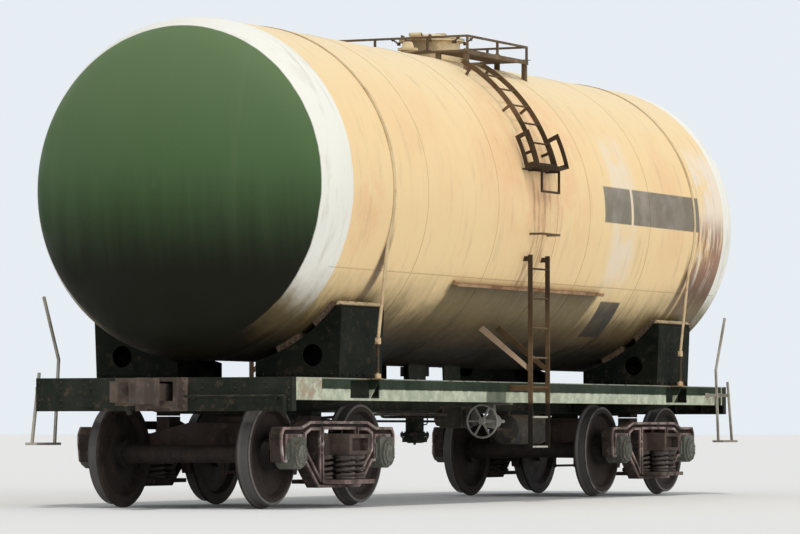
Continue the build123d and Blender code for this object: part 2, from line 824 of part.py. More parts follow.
# Strikers: castings with a framed opening for the coupler shank, a face plate over the end
# beam and a stop above it
striker_out = 70.0
striker_x = frame_half + striker_out
striker_half = sill_web_y + 29.7
shank_half_y = 65.0
shank_half_z = 80.0
striker_open = 150.0
striker_plate_y = striker_half + 75.0
striker_plate_t = 22.0
lintel_gap = 20.0

for end, name in ((-1, "striker_a"), (1, "striker_b")):
    with BuildPart() as striker:
        low_x = min(end * striker_x, end * (frame_half - end_t))
        face_x = frame_half + seat_gap
        plate_x = min(end * face_x, end * (face_x + striker_plate_t))
        for x, half_y, long in (
            (low_x, striker_half, striker_out + end_t),
            (plate_x, striker_plate_y, striker_plate_t),
        ):
            with BuildSketch(across(x)):
                with Locations((0, (sill_bottom + sill_top) / 2)):
                    Rectangle(2 * half_y, sill_top - sill_bottom)
            extrude(amount=long)
        with BuildSketch(across(low_x - 1)) as mouth:
            with Locations((0, coupler_z + (lintel_gap - seat_gap) / 2)):
                Rectangle(2 * striker_open, 2 * shank_half_z + lintel_gap + seat_gap)
            fillet(mouth.vertices().group_by(Axis.Y)[-1], 18)
        extrude(amount=striker_out + end_t + 2, mode=Mode.SUBTRACT)
        with Locations((end * (frame_half + striker_out / 2), 0, sill_bottom + 12)):
            Box(striker_out + 2, 2 * striker_open - 60, 26, mode=Mode.SUBTRACT)
    striker.part.label = name
    export_step(striker.part, f"parts/{name}.step")

# Yokes with the draft gear between them, and the key on which the coupler swings
yoke_half = 60.0
yoke_t = 24.0
key_r = 40.0
tail_gap = 0.5
gear_x0 = 4300.0
gear_x1 = 4840.0

for end, name in ((-1, "yoke_a"), (1, "yoke_b")):
    with BuildPart() as yoke:
        bar_off = shank_half_z + tail_gap + yoke_t / 2
        for z in (coupler_z + bar_off, coupler_z - bar_off):
            with Locations((end * (gear_x0 + coupler_pivot + 60) / 2, 0, z)):
                Box(coupler_pivot + 60 - gear_x0, 2 * yoke_half, yoke_t)
        with Locations((end * (gear_x0 + gear_x1) / 2, 0, coupler_z)):
            Box(gear_x1 - gear_x0, 2 * (sill_web_y - seat_gap), 2 * shank_half_z + 1)
        with Locations((end * coupler_pivot, 0, coupler_z)):
            Cylinder(key_r, 2 * shank_half_z + 2)
    yoke.part.label = name
    export_step(yoke.part, f"parts/{name}.step")

# Couplers: shank and claw head in one casting, drawn from above with u outwards from the
# coupling line and v to the left. The big tooth, the small tooth and the body between them
# stand to their own heights.
head_half_z = 125.0
head_layers = (
    # half height, corner radius, outline
    (
        head_half_z,
        18.0,
        (
            (-430, -65), (-330, -75), (-250, -170), (-120, -205), (-80, -208), (-95, -60),
            (-95, 60), (-60, 211), (-120, 215), (-250, 170), (-330, 75), (-430, 65),
        ),
    ),
    (
        96.0,
        14.0,
        ((-140, -205), (-10, -215), (35, -190), (35, -110), (-25, -85), (-95, -60), (-140, -60)),
    ),
    (
        112.0,
        16.0,
        (
            (-140, 60), (-95, 60), (-40, 110), (60, 62), (110, 50), (160, 95), (170, 160),
            (120, 215), (-140, 215),
        ),
    ),
)
lock_outline = ((-94.7, -40), (-30, -30), (-30, 20), (-94.7, 40))
lock_half_z = 60.0
stop_u = -395.0
stop_long = 110.0
stop_rise = 46.0
guard_u = -200.0

for end, name, lock_name in ((-1, "coupler_a", "coupler_lock_a"), (1, "coupler_b", "coupler_lock_b")):
    with BuildPart() as coupler:
        with BuildSketch(Plane.XY.offset(coupler_z - shank_half_z)):
            with BuildLine():
                a = end * (pull_half - 420)
                b = end * coupler_pivot
                shank = ((a, -shank_half_y), (b, -shank_half_y), (b, shank_half_y), (a, shank_half_y))
                Polyline(*shank, close=True)
            make_face()
            with Locations((end * coupler_pivot, 0)):
                Circle(shank_half_y + 20)
                Circle(key_r + running_gap, mode=Mode.SUBTRACT)
        extrude(amount=2 * shank_half_z)
        for half_z, corner_r, outline in head_layers:
            with BuildSketch(Plane.XY.offset(coupler_z - half_z)) as layer:
                with BuildLine():
                    Polyline(*[(end * (pull_half + u), end * v) for u, v in outline], close=True)
                make_face()
                for u, v in outline:
                    if u > 0 or abs(v) > 200:
                        tip = (end * (pull_half + u), end * v)
                        fillet(layer.vertices().sort_by_distance(tip)[0], corner_r)
            extrude(amount=2 * half_z)
        with Locations((end * (pull_half + stop_u), 0, coupler_z + shank_half_z + stop_rise / 2)):
            Box(stop_long, 1.4 * shank_half_y, stop_rise)
        with Locations((end * (pull_half + guard_u), 0, coupler_z - head_half_z - 20)):
            Box(70, 60, 44)
    coupler.part.label = name
    export_step(coupler.part, f"parts/{name}.step")
    with BuildPart() as lock:
        with BuildSketch(Plane.XY.offset(coupler_z - lock_half_z)):
            with BuildLine():
                Polyline(*[(end * (pull_half + u), end * v) for u, v in lock_outline], close=True)
            make_face()
        extrude(amount=2 * lock_half_z)
    lock.part.label = lock_name
    export_step(lock.part, f"parts/{lock_name}.step")

# Uncoupling levers on the end beams: a round bar in two brackets, cranked at the coupler
# and with a hand grip at the side
lever_r = 13.0
lever_z = sill_bottom + 135.0
lever_in_y = striker_plate_y + 22.0
lever_out_y = side_y - 50.0
lever_off = 30.0
grip_drop = 180.0
crank_reach = 100.0
with BuildPart() as uncoupling_levers:
    for end in (-1, 1):
        x = end * (frame_half + lever_off)
        with Locations(Location((x, end * (lever_in_y + lever_out_y) / 2, lever_z), (90, 0, 0))):
            Cylinder(lever_r, lever_out_y - lever_in_y)
        for y in (lever_in_y + 50, lever_out_y - 100):
            with Locations((end * (frame_half + seat_gap + 21), end * y, lever_z)):
                Box(42, 30, 60)
        with Locations((x, end * (lever_out_y - lever_r), lever_z - grip_drop / 2)):
            Box(2 * lever_r, 2 * lever_r, grip_drop)
        with Locations((x + end * crank_reach / 2, end * (lever_in_y + 10), lever_z)):
            Box(crank_reach, 20, 2 * lever_r)
uncoupling_levers.part.label = "uncoupling_levers"
export_step(uncoupling_levers.part, "parts/uncoupling_levers.step")

# Bottom outlet through the sill cover, with its capped spout
outlet_low = 620.0
with BuildPart() as bottom_outlet:
    with Locations((0, 0, (tank_bottom + 60 + outlet_low) / 2)):
        Cylinder(outlet_r, tank_bottom + 60 - outlet_low)
    with Locations((0, 0, outlet_low + 60)):
        Cylinder(150, 40)
    with Locations((0, 0, outlet_low + 10)):
        Cylinder(130, 56)
    with Locations((0, 0, sill_top + 120)):
        Cylinder(150, 100)
    with BuildSketch(across(-200, tank_z)):
        Circle(tank_r + seat_gap)
    extrude(amount=400, mode=Mode.SUBTRACT)
bottom_outlet.part.label = "bottom_outlet"
export_step(bottom_outlet.part, "parts/bottom_outlet.step")

# Brake cylinder with its piston rod and lever, hung from the centre sill
hang_t = sill_flange_t
hang_z = sill_bottom + hang_t / 2
cylinder_x = -1500.0
cylinder_y = 620.0
cylinder_z = sill_bottom - 85.0
cylinder_profile = (
    # along the cylinder from its middle, radius
    (-235, 0), (-235, 90), (-205, 178), (-190, 178), (-190, 205), (-168, 205), (-168, 178), (168, 178),
    (168, 205), (190, 205), (190, 178), (225, 80), (225, 32), (320, 32), (320, 0),
)
brake_lever_x = cylinder_x + 300.0
brake_lever_t = 20.0

with BuildPart() as brake_cylinder:
    with BuildSketch(along(cylinder_y, cylinder_z)):
        with BuildLine():
            Polyline(*[(cylinder_x + u, r) for u, r in cylinder_profile], close=True)
        make_face()
    revolve(axis=Axis((0, cylinder_y, cylinder_z), (1, 0, 0)))
    with Locations((cylinder_x, (flange_out + cylinder_y - 60) / 2, hang_z)):
        Box(330, cylinder_y - 60 - flange_out, hang_t)
    with Locations((brake_lever_x, cylinder_y - 130, cylinder_z)):
        Box(50, 520, brake_lever_t)
brake_cylinder.part.label = "brake_cylinder"
export_step(brake_cylinder.part, "parts/brake_cylinder.step")

# Air reservoir with dished ends, on two arms from the centre sill
reservoir_r = 155.0
reservoir_x = 740.0
reservoir_half = 450.0
reservoir_dish = 45.0
dish_r = (reservoir_r**2 + reservoir_dish**2) / (2 * reservoir_dish)
dish_angle = math.degrees(math.asin(reservoir_r / dish_r))
reservoir_y = -880.0
reservoir_z = sill_bottom - 170.0
reservoir_arm_x = 300.0

with BuildPart() as air_reservoir:
    with BuildSketch(along(reservoir_y, reservoir_z)):
        with BuildLine():
            x0 = reservoir_x - reservoir_half
            x1 = reservoir_x + reservoir_half
            right = [on_circle(x1 - dish_r, 0, dish_r, dish_angle * k) for k in (0, 0.5, 1)]
            left = [on_circle(x0 + dish_r, 0, dish_r, 180 - dish_angle * k) for k in (1, 0.5, 0)]
            Line((x0, 0), (x1, 0))
            ThreePointArc(*right)
            Line(right[2], left[0])
            ThreePointArc(*left)
        make_face()
    revolve(axis=Axis((0, reservoir_y, reservoir_z), (1, 0, 0)))
    for x in (reservoir_x - reservoir_arm_x, reservoir_x + reservoir_arm_x):
        with Locations((x, -(flange_out - reservoir_y) / 2, hang_z)):
            Box(60, -reservoir_y - flange_out, hang_t)
        with Locations((x, reservoir_y + 10, (hang_z + reservoir_z + reservoir_r) / 2)):
            Box(60, 20, hang_z - reservoir_z - reservoir_r + 10)
air_reservoir.part.label = "air_reservoir"
export_step(air_reservoir.part, "parts/air_reservoir.step")

# Brake distributor: a chamber block with a round valve body on each face
distributor_x = -180.0
distributor_y = -560.0
distributor_z = sill_bottom - 45.0

with BuildPart() as air_distributor:
    with Locations((distributor_x, distributor_y, distributor_z)):
        Box(230, 220, 210)
    with Locations(Location((distributor_x, distributor_y, distributor_z), (90, 0, 0))):
        Cylinder(92, 420)
        Cylinder(112, 330)
    with Locations((distributor_x, -(flange_out + 470) / 2, hang_z)):
        Box(180, 470 - flange_out, hang_t)
air_distributor.part.label = "air_distributor"
export_step(air_distributor.part, "parts/air_distributor.step")

# Parking brake: a round-rimmed hand wheel on a shaft in a gear case that hangs from the
# side sill
hand_x = -760.0
hand_y = -(side_y - 230.0)
hand_z = side_bottom - 189.0
hand_r = 165.0
hand_rim_r = 11.0
hand_shaft = 520.0
case_x = hand_x + 240.0
with BuildPart() as parking_brake:
    with Locations(Location((hand_x, hand_y, hand_z), (0, 90, 0))):
        Torus(hand_r, hand_rim_r)
        Cylinder(34, 50)
    for turn in (0, 60, 120):
        with Locations(Location((hand_x, hand_y, hand_z), (turn, 0, 0))):
            Box(14, 2 * hand_r, 18)
    with Locations(Location((hand_x + hand_shaft / 2, hand_y, hand_z), (0, 90, 0))):
        Cylinder(18, hand_shaft)
        Cylinder(72, 110)
    with Locations((case_x, hand_y, (hand_z + side_bottom) / 2)):
        Box(60, 60, side_bottom - hand_z - 2 * seat_gap)
    with Locations((case_x, (hand_y - side_y + 40) / 2, side_bottom - seat_gap - 11)):
        Box(60, side_y - 10 + hand_y + 30, 22)
parking_brake.part.label = "parking_brake"
export_step(parking_brake.part, "parts/parking_brake.step")

# Corner steps with their bent handrails, at the right-hand end of each side
post_w = 24.0
step_y = side_y + 120.0
step_low = 600.0
rail_high = sill_top + 775.0
rail_path = (
    # distance in from the frame's end, height
    (340.0, rail_high),
    (620.0, sill_top + 185.0),
    (550.0, step_low),
)
post_path = ((260.0, sill_top + 55.0), (130.0, step_low))
tread_t = 24.0
step_arm_z = side_bottom + 110.0

with BuildPart() as corner_steps:
    for end in (-1, 1):
        y = -end * step_y
        for path in (rail_path, post_path):
            with BuildSketch(along(y + post_w / 2)):
                with BuildLine() as line:
                    Polyline(*[(end * (frame_half - u), z) for u, z in path])
                trace(line.edges(), line_width=post_w)
            extrude(amount=post_w)
        inner = rail_path[2][0] + 12
        outer = post_path[1][0] - 12
        with Locations((end * (frame_half - (inner + outer) / 2), y, step_low)):
            Box(inner - outer, 130, tread_t)
        for u in (595.0, 225.0):
            arm_in = side_y + seat_gap
            arm_end = step_y + post_w / 2
            with Locations((end * (frame_half - u), -end * (arm_in + arm_end) / 2, step_arm_z)):
                Box(30, arm_end - arm_in, 36)
corner_steps.part.label = "corner_steps"
export_step(corner_steps.part, "parts/corner_steps.step")

# Train pipe through bolsters and end beams, with an angle cock at each end
cock_out = 105.0
cock_long = 90.0
cock_drop = 55.0
pipe_clips = (-2000.0, -700.0, 700.0, 2000.0)
with BuildPart() as train_pipe:
    with Locations(Location((0, pipe_y, pipe_z), (0, 90, 0))):
        Cylinder(pipe_r, 2 * (frame_half + cock_out - cock_long / 2))
    for end in (-1, 1):
        x = end * (frame_half + cock_out - cock_long / 2)
        with Locations(Location((x, pipe_y, pipe_z), (0, 90, 0))):
            Cylinder(pipe_r + 13, cock_long)
        with Locations(Location((x + end * 30, pipe_y, pipe_z - cock_drop / 2), (0, end * 35, 0))):
            Cylinder(pipe_r + 4, cock_drop + 40)
        with Locations((x, pipe_y, pipe_z + pipe_r + 20)):
            Box(110, 24, 10)
        with Locations((x, pipe_y, pipe_z + pipe_r + 10)):
            Cylinder(12, 20)
    for x in pipe_clips:
        clip_low = sill_bottom + sill_flange_t + seat_gap
        with Locations((x, (flange_out + pipe_y) / 2 - 18, (clip_low + pipe_z) / 2)):
            Box(30, pipe_y - flange_out + 36, pipe_z - clip_low)
train_pipe.part.label = "train_pipe"
export_step(train_pipe.part, "parts/train_pipe.step")

# Bogies
box_half = 140.0
box_top = 160.0
box_round = 30.0
box_in_y = 936.0
box_out_y = 1126.0
box_lip = 22.0
box_lip_t = 12.0
cap_r = 122.0
cap_t = 26.0
small_cap_r = 84.0
small_cap_t = 12.0
jaw_gap = 8.0
frame_t = 130.0
frame_round = 20.0
frame_rim = 26.0
frame_pocket = 40.0
window_half = 322.0
window_top = 735.0
spring_seat = 265.0
spring_top = 500.0
spring_r = 98.0
spring_y = 175.0
spring_x = 213.0
spring_turns = 5
spring_groove = 15.0
bogie_top = 815.0
bolster_x = 222.0
bolster_len = 1298.0
bolster_low = 440.0
bolster_high = 800.0
bolster_end_top = 690.0
bowl_r = plate_r + 1.5
shoe_gap = 7.0
shoe_t = 55.0
shoe_w = 80.0
shoe_y = 802.0
beam_x = 355.0
beam_half = 32.0
beam_z = 470.0
beam_h = 60.0
truss_w = 24.0
truss_in = 265.0
lever_half = 22.0
lever_low = 310.0
lever_high = 690.0

# The right half of a side frame: outline, then its triangular window
half_wb = wheelbase / 2
jaw_in = half_wb - box_half - jaw_gap
jaw_out = half_wb + box_half + jaw_gap
roof = axle_z + box_top
jaw_low = 430.0
side_outline = (
    (jaw_in - 177, bogie_top),
    (jaw_in + 13, bogie_top - 55),
    (jaw_out + 70, bogie_top - 55),
    (jaw_out + 117, bogie_top - 125),
    (jaw_out + 117, 600),
    (jaw_out + 87, jaw_low),
    (jaw_out, jaw_low),
    (jaw_out, roof),
    (jaw_in, roof),
    (jaw_in, jaw_low),
    (jaw_in - 77, jaw_low),
    (window_half + 108, 190),
)
side_window = (
    (window_half + 88, 300),
    (window_half + 88, 728),
    (jaw_in - 187, 728),
    (jaw_in - 87, 690),
    (jaw_in - 87, 552),
)

for end, tag in ((-1, "a"), (1, "b")):
    x0 = end * base / 2
    with BuildPart() as side_frames:
        for side in (-1, 1):
            outline = [(x0 + u, v) for u, v in side_outline]
            outline += [(x0 - u, v) for u, v in reversed(side_outline)]
            windows = [[(x0 + turn * u, v) for u, v in side_window] for turn in (-1, 1)]
            mid_window = (x0, (spring_seat + window_top) / 2)
            with BuildSketch(along(side * journal_y + frame_t / 2)) as body:
                with BuildLine():
                    Polyline(*outline, close=True)
                make_face()
                fillet(body.vertices(), frame_round)
                with Locations(mid_window):
                    Rectangle(2 * window_half, window_top - spring_seat, mode=Mode.SUBTRACT)
                for window in windows:
                    with BuildLine():
                        Polyline(*window, close=True)
                    make_face(mode=Mode.SUBTRACT)
            extrude(amount=frame_t)
            for y in (side * journal_y + frame_t / 2, side * journal_y - frame_t / 2 + frame_pocket):
                with BuildSketch(along(y)) as pocket:
                    with BuildLine():
                        Polyline(*outline, close=True)
                    make_face()
                    offset(amount=-frame_rim, kind=Kind.INTERSECTION)
                    with Locations(mid_window):
                        Rectangle(
                            2 * (window_half + frame_rim),
                            window_top - spring_seat + 2 * frame_rim,
                            mode=Mode.SUBTRACT,
                        )
                    for window in windows:
                        with BuildSketch(mode=Mode.SUBTRACT):
                            with BuildLine():
                                Polyline(*window, close=True)
                            make_face()
                            offset(amount=frame_rim, kind=Kind.INTERSECTION)
                extrude(amount=frame_pocket, mode=Mode.SUBTRACT)
            with Locations((x0, side * journal_y, spring_seat - 20)):
                Box(2 * window_half - 8, 2 * (spring_y + spring_r + 7), 40)
    side_frames.part.label = f"side_frames_{tag}"
    export_step(side_frames.part, f"parts/side_frames_{tag}.step")

    with BuildPart() as bogie_bolster:
        with BuildSketch(across(x0 - bolster_x)):
            with BuildLine():
                half = (
                    (620, bolster_low),
                    (735, spring_top),
                    (bolster_len, spring_top),
                    (bolster_len, bolster_end_top),
                    (830, bolster_end_top + 10),
                    (420, bolster_high),
                )
                Polyline(*half, *[(-y, z) for y, z in reversed(half)], close=True)
            make_face()
        extrude(amount=2 * bolster_x)
        for side in (-1, 1):
            with Locations((x0, side * bearer_y, (720 + bearer_top) / 2)):
                Box(220, 140, bearer_top - 720)
            with Locations((x0, side * bolster_len, (spring_top + bolster_end_top) / 2)):
                Box(2 * bolster_x - 110, 160, bolster_end_top - spring_top - 70, mode=Mode.SUBTRACT)
        with BuildSketch(Plane.XY.offset(bolster_high - 10)):
            with Locations((x0, 0)):
                Circle(bowl_r + 32)
        extrude(amount=bowl_floor + 28 - bolster_high + 10)
        with BuildSketch(Plane.XY.offset(bowl_floor)):
            with Locations((x0, 0)):
                Circle(bowl_r)
        extrude(amount=40, mode=Mode.SUBTRACT)
    bogie_bolster.part.label = f"bogie_bolster_{tag}"
    export_step(bogie_bolster.part, f"parts/bogie_bolster_{tag}.step")

    # Seven springs to a nest; the turns show on the two in front
    spring_low = spring_seat + seat_gap
    spring_pitch = (spring_top - spring_seat - 2 * seat_gap) / spring_turns
    with BuildPart() as springs:
        for side in (-1, 1):
            y0 = side * journal_y
            for u in (-spring_x, 0, spring_x):
                with Locations((x0 + u, y0, (spring_seat + spring_top) / 2)):
                    Cylinder(spring_r, spring_pitch * spring_turns)
            for u in (-spring_x / 2, spring_x / 2):
                with Locations((x0 + u, y0 - side * spring_y, (spring_seat + spring_top) / 2)):
                    Cylinder(spring_r, spring_pitch * spring_turns)
                x, y = x0 + u, y0 + side * spring_y
                with BuildSketch(Plane(origin=(x, y, spring_low), x_dir=(1, 0, 0), z_dir=(0, -1, 0))):
                    with BuildLine():
                        edge = [(0, 0)]
                        for turn in range(spring_turns):
                            edge += [
                                (spring_r - spring_groove, turn * spring_pitch),
                                (spring_r, (turn + 0.3) * spring_pitch),
                                (spring_r, (turn + 0.7) * spring_pitch),
                            ]
                        edge += [
                            (spring_r - spring_groove, spring_turns * spring_pitch),
                            (0, spring_turns * spring_pitch),
                        ]
                        Polyline(*edge, close=True)
                    make_face()
                revolve(axis=Axis((x, y, 0), (0, 0, 1)))
    springs.part.label = f"springs_{tag}"
    export_step(springs.part, f"parts/springs_{tag}.step")

    with BuildPart() as wedges:
        for side in (-1, 1):
            for turn in (-1, 1):
                with BuildSketch(along(side * journal_y + 75)):
                    with BuildLine():
                        Polyline(
                            (x0 + turn * (bolster_x + seat_gap), spring_top),
                            (x0 + turn * (window_half - seat_gap), spring_top),
                            (x0 + turn * (window_half - seat_gap), 690),
                            (x0 + turn * (bolster_x + 50), 690),
                            (x0 + turn * (bolster_x + seat_gap), 640),
                            close=True,
                        )
                    make_face()
                extrude(amount=150)
    wedges.part.label = f"friction_wedges_{tag}"
    export_step(wedges.part, f"parts/friction_wedges_{tag}.step")

    # Axle boxes, with lips that hold the side frame's jaws and a stepped cap
    lip_slabs = (
        # nearest to the middle, thickness
        (box_in_y, journal_y - frame_t / 2 - seat_gap - box_in_y),
        (journal_y + frame_t / 2 + seat_gap, box_lip_t),
    )
    with BuildPart() as axleboxes:
        for side in (-1, 1):
            for turn in (-1, 1):
                xa = x0 + turn * half_wb
                with BuildSketch(along(side * box_in_y)) as box:
                    with Locations((xa, axle_z)):
                        Circle(box_half)
                    with Locations((xa, axle_z + box_top / 2)):
                        Rectangle(2 * box_half, box_top)
                    fillet(box.vertices().group_by(Axis.Y)[-1], box_round)
                extrude(amount=side * (box_in_y - box_out_y))
                for y, thick in lip_slabs:
                    with BuildSketch(along(side * y)) as lip:
                        with Locations((xa, axle_z + 25)):
                            Rectangle(2 * (box_half + jaw_gap + box_lip), 150)
                        fillet(lip.vertices(), 20)
                    extrude(amount=-side * thick)
                for y, r, thick in (
                    (box_out_y, cap_r, cap_t),
                    (box_out_y + cap_t, small_cap_r, small_cap_t),
                ):
                    with BuildSketch(along(side * y)):
                        with Locations((xa, axle_z)):
                            Circle(r)
                    extrude(amount=-side * thick)
                with BuildSketch(along(side * (axle_half + 5))):
                    with Locations((xa, axle_z)):
                        Circle(journal_r + running_gap)
                extrude(amount=side * 300, mode=Mode.SUBTRACT)
    axleboxes.part.label = f"axleboxes_{tag}"
    export_step(axleboxes.part, f"parts/axleboxes_{tag}.step")

    # Brake beams inside the wheelsets, trussed, each with its two shoes off the treads, and
    # the levers that a rod under the bolster joins
    pin_end = journal_y - frame_t / 2 - seat_gap
    pin_start = shoe_y + shoe_w / 2
    with BuildPart() as brake_beams:
        for turn in (-1, 1):
            xb = x0 + turn * beam_x
            xa = x0 + turn * half_wb
            with Locations((xb, 0, beam_z)):
                Box(2 * beam_half, 2 * pin_start + 6, beam_h)
            with BuildSketch(Plane.XY.offset(beam_z - truss_w / 2)):
                for side in (-1, 1):
                    with BuildLine():
                        Polyline(
                            (x0 + turn * (beam_x - beam_half), side * 700),
                            (x0 + turn * (beam_x - beam_half), side * 640),
                            (x0 + turn * (truss_in + truss_w), 0),
                            (x0 + turn * truss_in, 0),
                            close=True,
                        )
                    make_face()
                with Locations((x0 + turn * (truss_in + beam_x) / 2, 0)):
                    Rectangle(beam_x - truss_in, 60)
            extrude(amount=truss_w)
            with Locations((x0 + turn * (truss_in + lever_half), 0, (lever_low + lever_high) / 2)):
                Box(2 * lever_half, 24, lever_high - lever_low)
            for side in (-1, 1):
                with Locations(Location((xb, side * (pin_start + pin_end) / 2, beam_z), (90, 0, 0))):
                    Cylinder(20, pin_end - pin_start)
                with BuildSketch(along(side * shoe_y + shoe_w / 2)):
                    with Locations((xa, axle_z)):
                        Circle(tread_r + shoe_gap + shoe_t)
                        Circle(tread_r + shoe_gap, mode=Mode.SUBTRACT)
                    with Locations((xa - turn * (tread_r + 40), axle_z - 30)):
                        Rectangle(170, 330, mode=Mode.INTERSECT)
                extrude(amount=shoe_w)
        with Locations((x0, 0, lever_low + 20)):
            Box(2 * truss_in + 2 * lever_half, 50, 24)
    brake_beams.part.label = f"brake_beams_{tag}"
    export_step(brake_beams.part, f"parts/brake_beams_{tag}.step")

# Wheelsets: wheel profile from the back of the rim outwards, (distance from the middle, radius)
rim_in_y = back_to_back / 2
rim_out_y = rim_in_y + rim_width
rim_in_r = tread_r - rim_thickness
web_y = 790.0

number = 0
for end in (-1, 1):
    for turn in (-1, 1):
        number += 1
        xa = end * base / 2 + turn * half_wb
        with BuildPart() as wheels:
            for side in (-1, 1):
                with BuildSketch(Plane(origin=(xa, 0, axle_z), x_dir=(0, 1, 0), z_dir=(1, 0, 0))):
                    with BuildLine():
                        Polyline(
                            (side * hub_inner_y, seat_r),
                            (side * hub_inner_y, hub_r),
                            (side * (hub_inner_y + 60), hub_r),
                            (side * (web_y - web_thickness / 2), rim_in_r - 30),
                            (side * rim_in_y, rim_in_r),
                            (side * rim_in_y, flange_r - 10),
                            (side * (rim_in_y + 10), flange_r),
                            (side * (rim_in_y + flange_width - 12), flange_r - 2),
                            (side * (rim_in_y + flange_width + 12), tread_r + 1),
                            (side * (rim_out_y - 8), tread_r - 3),
                            (side * rim_out_y, tread_r - 11),
                            (side * rim_out_y, rim_in_r),
                            (side * (web_y + web_thickness / 2), rim_in_r - 30),
                            (side * (hub_outer_y - 90), hub_r + 20),
                            (side * hub_outer_y, hub_r),
                            (side * hub_outer_y, seat_r),
                            close=True,
                        )
                    make_face()
                revolve(axis=Axis((xa, 0, axle_z), (0, 1, 0)))
        wheels.part.label = f"wheels_{number}"
        export_step(wheels.part, f"parts/wheels_{number}.step")
        with BuildPart() as axle:
            with BuildSketch(Plane(origin=(xa, 0, axle_z), x_dir=(0, 1, 0), z_dir=(1, 0, 0))):
                with BuildLine():
                    half = (
                        (0, axle_mid_r - 3),
                        (500, axle_mid_r),
                        (hub_inner_y - 20, seat_r),
                        (hub_outer_y, seat_r),
                        (hub_outer_y + 10, collar_r),
                        (922, collar_r),
                        (930, journal_r),
                        (axle_half, journal_r),
                    )
                    Polyline(
                        (-axle_half, 0),
                        *[(-u, v) for u, v in reversed(half)],
                        *half[1:],
                        (axle_half, 0),
                        close=True,
                    )
                make_face()
            revolve(axis=Axis((xa, 0, axle_z), (0, 1, 0)))
        axle.part.label = f"axle_{number}"
        export_step(axle.part, f"parts/axle_{number}.step")
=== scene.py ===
import bpy
import bmesh
import math
from mathutils import Matrix, Vector


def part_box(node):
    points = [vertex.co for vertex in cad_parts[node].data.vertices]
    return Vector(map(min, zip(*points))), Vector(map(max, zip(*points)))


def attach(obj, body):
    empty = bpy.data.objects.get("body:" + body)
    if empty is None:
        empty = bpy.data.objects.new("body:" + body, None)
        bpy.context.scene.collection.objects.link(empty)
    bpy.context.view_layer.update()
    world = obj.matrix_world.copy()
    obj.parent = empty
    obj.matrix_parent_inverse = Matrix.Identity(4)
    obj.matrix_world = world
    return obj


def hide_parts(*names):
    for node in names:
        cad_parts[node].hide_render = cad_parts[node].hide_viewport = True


# The looks of the railway tank car. Metres, X along the car, Y across it, Z up, with the
# ladder side that the camera sees at -Y.
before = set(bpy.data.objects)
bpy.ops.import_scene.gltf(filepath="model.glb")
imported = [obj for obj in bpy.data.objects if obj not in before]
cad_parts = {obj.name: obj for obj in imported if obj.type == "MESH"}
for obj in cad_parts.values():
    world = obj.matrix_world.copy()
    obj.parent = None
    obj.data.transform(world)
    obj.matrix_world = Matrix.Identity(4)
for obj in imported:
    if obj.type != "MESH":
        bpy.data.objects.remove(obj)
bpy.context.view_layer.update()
scene = bpy.context.scene

# Sizes that the finishes and pieces share
TANK_R = (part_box("tank_barrel")[1].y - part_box("tank_barrel")[0].y) / 2
TANK_Z = (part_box("tank_barrel")[1].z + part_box("tank_barrel")[0].z) / 2
TANK_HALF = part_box("tank_barrel")[1].x
SILL_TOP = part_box("side_sills")[1].z
SILL_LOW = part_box("side_sills")[0].z
SADDLE_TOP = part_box("saddle_a")[1].z
BOGIE_X = {"a": -3.9, "b": 3.9}
HALF_WHEELBASE = 0.925
JOURNAL_Y = 1.018
AXLE_Z = 0.5065
HATCH_X = 0.42
FRAME_END = 5.40
STRIKER_FACE = 5.4223
SILL_FACE = 1.350
STRAP_X = 3.80
STRAP_Y = 1.435
SADDLE_HALF = 0.45
CRADLE_R = TANK_R + 0.0603
CRADLE_TOP = math.radians(-39.5)
SPRING_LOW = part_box("springs_a")[0].z
SPRING_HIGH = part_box("springs_a")[1].z
LADDER_X = (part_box("ladder_near")[0].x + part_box("ladder_near")[1].x) / 2

# Where the white ring ends on the barrel, and where it starts on the dished end
RING_INNER_X = 4.67
RING_OUTER_X = 5.12

# Places along the tank that its paint follows. Angles are degrees above its widest line.
SIGN_X0 = 1.28
SIGN_X1 = 3.94
SIGN_SPLIT = 2.03
SHELF_X0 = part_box("drip_shelves")[0].x
SHELF_X1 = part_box("drip_shelves")[1].x
SHELF_ANGLE = -30.6
SEAM_X = (-3.05, -1.42, 0.04, 0.88, 2.52)
SEAM_ANGLE = -28.0


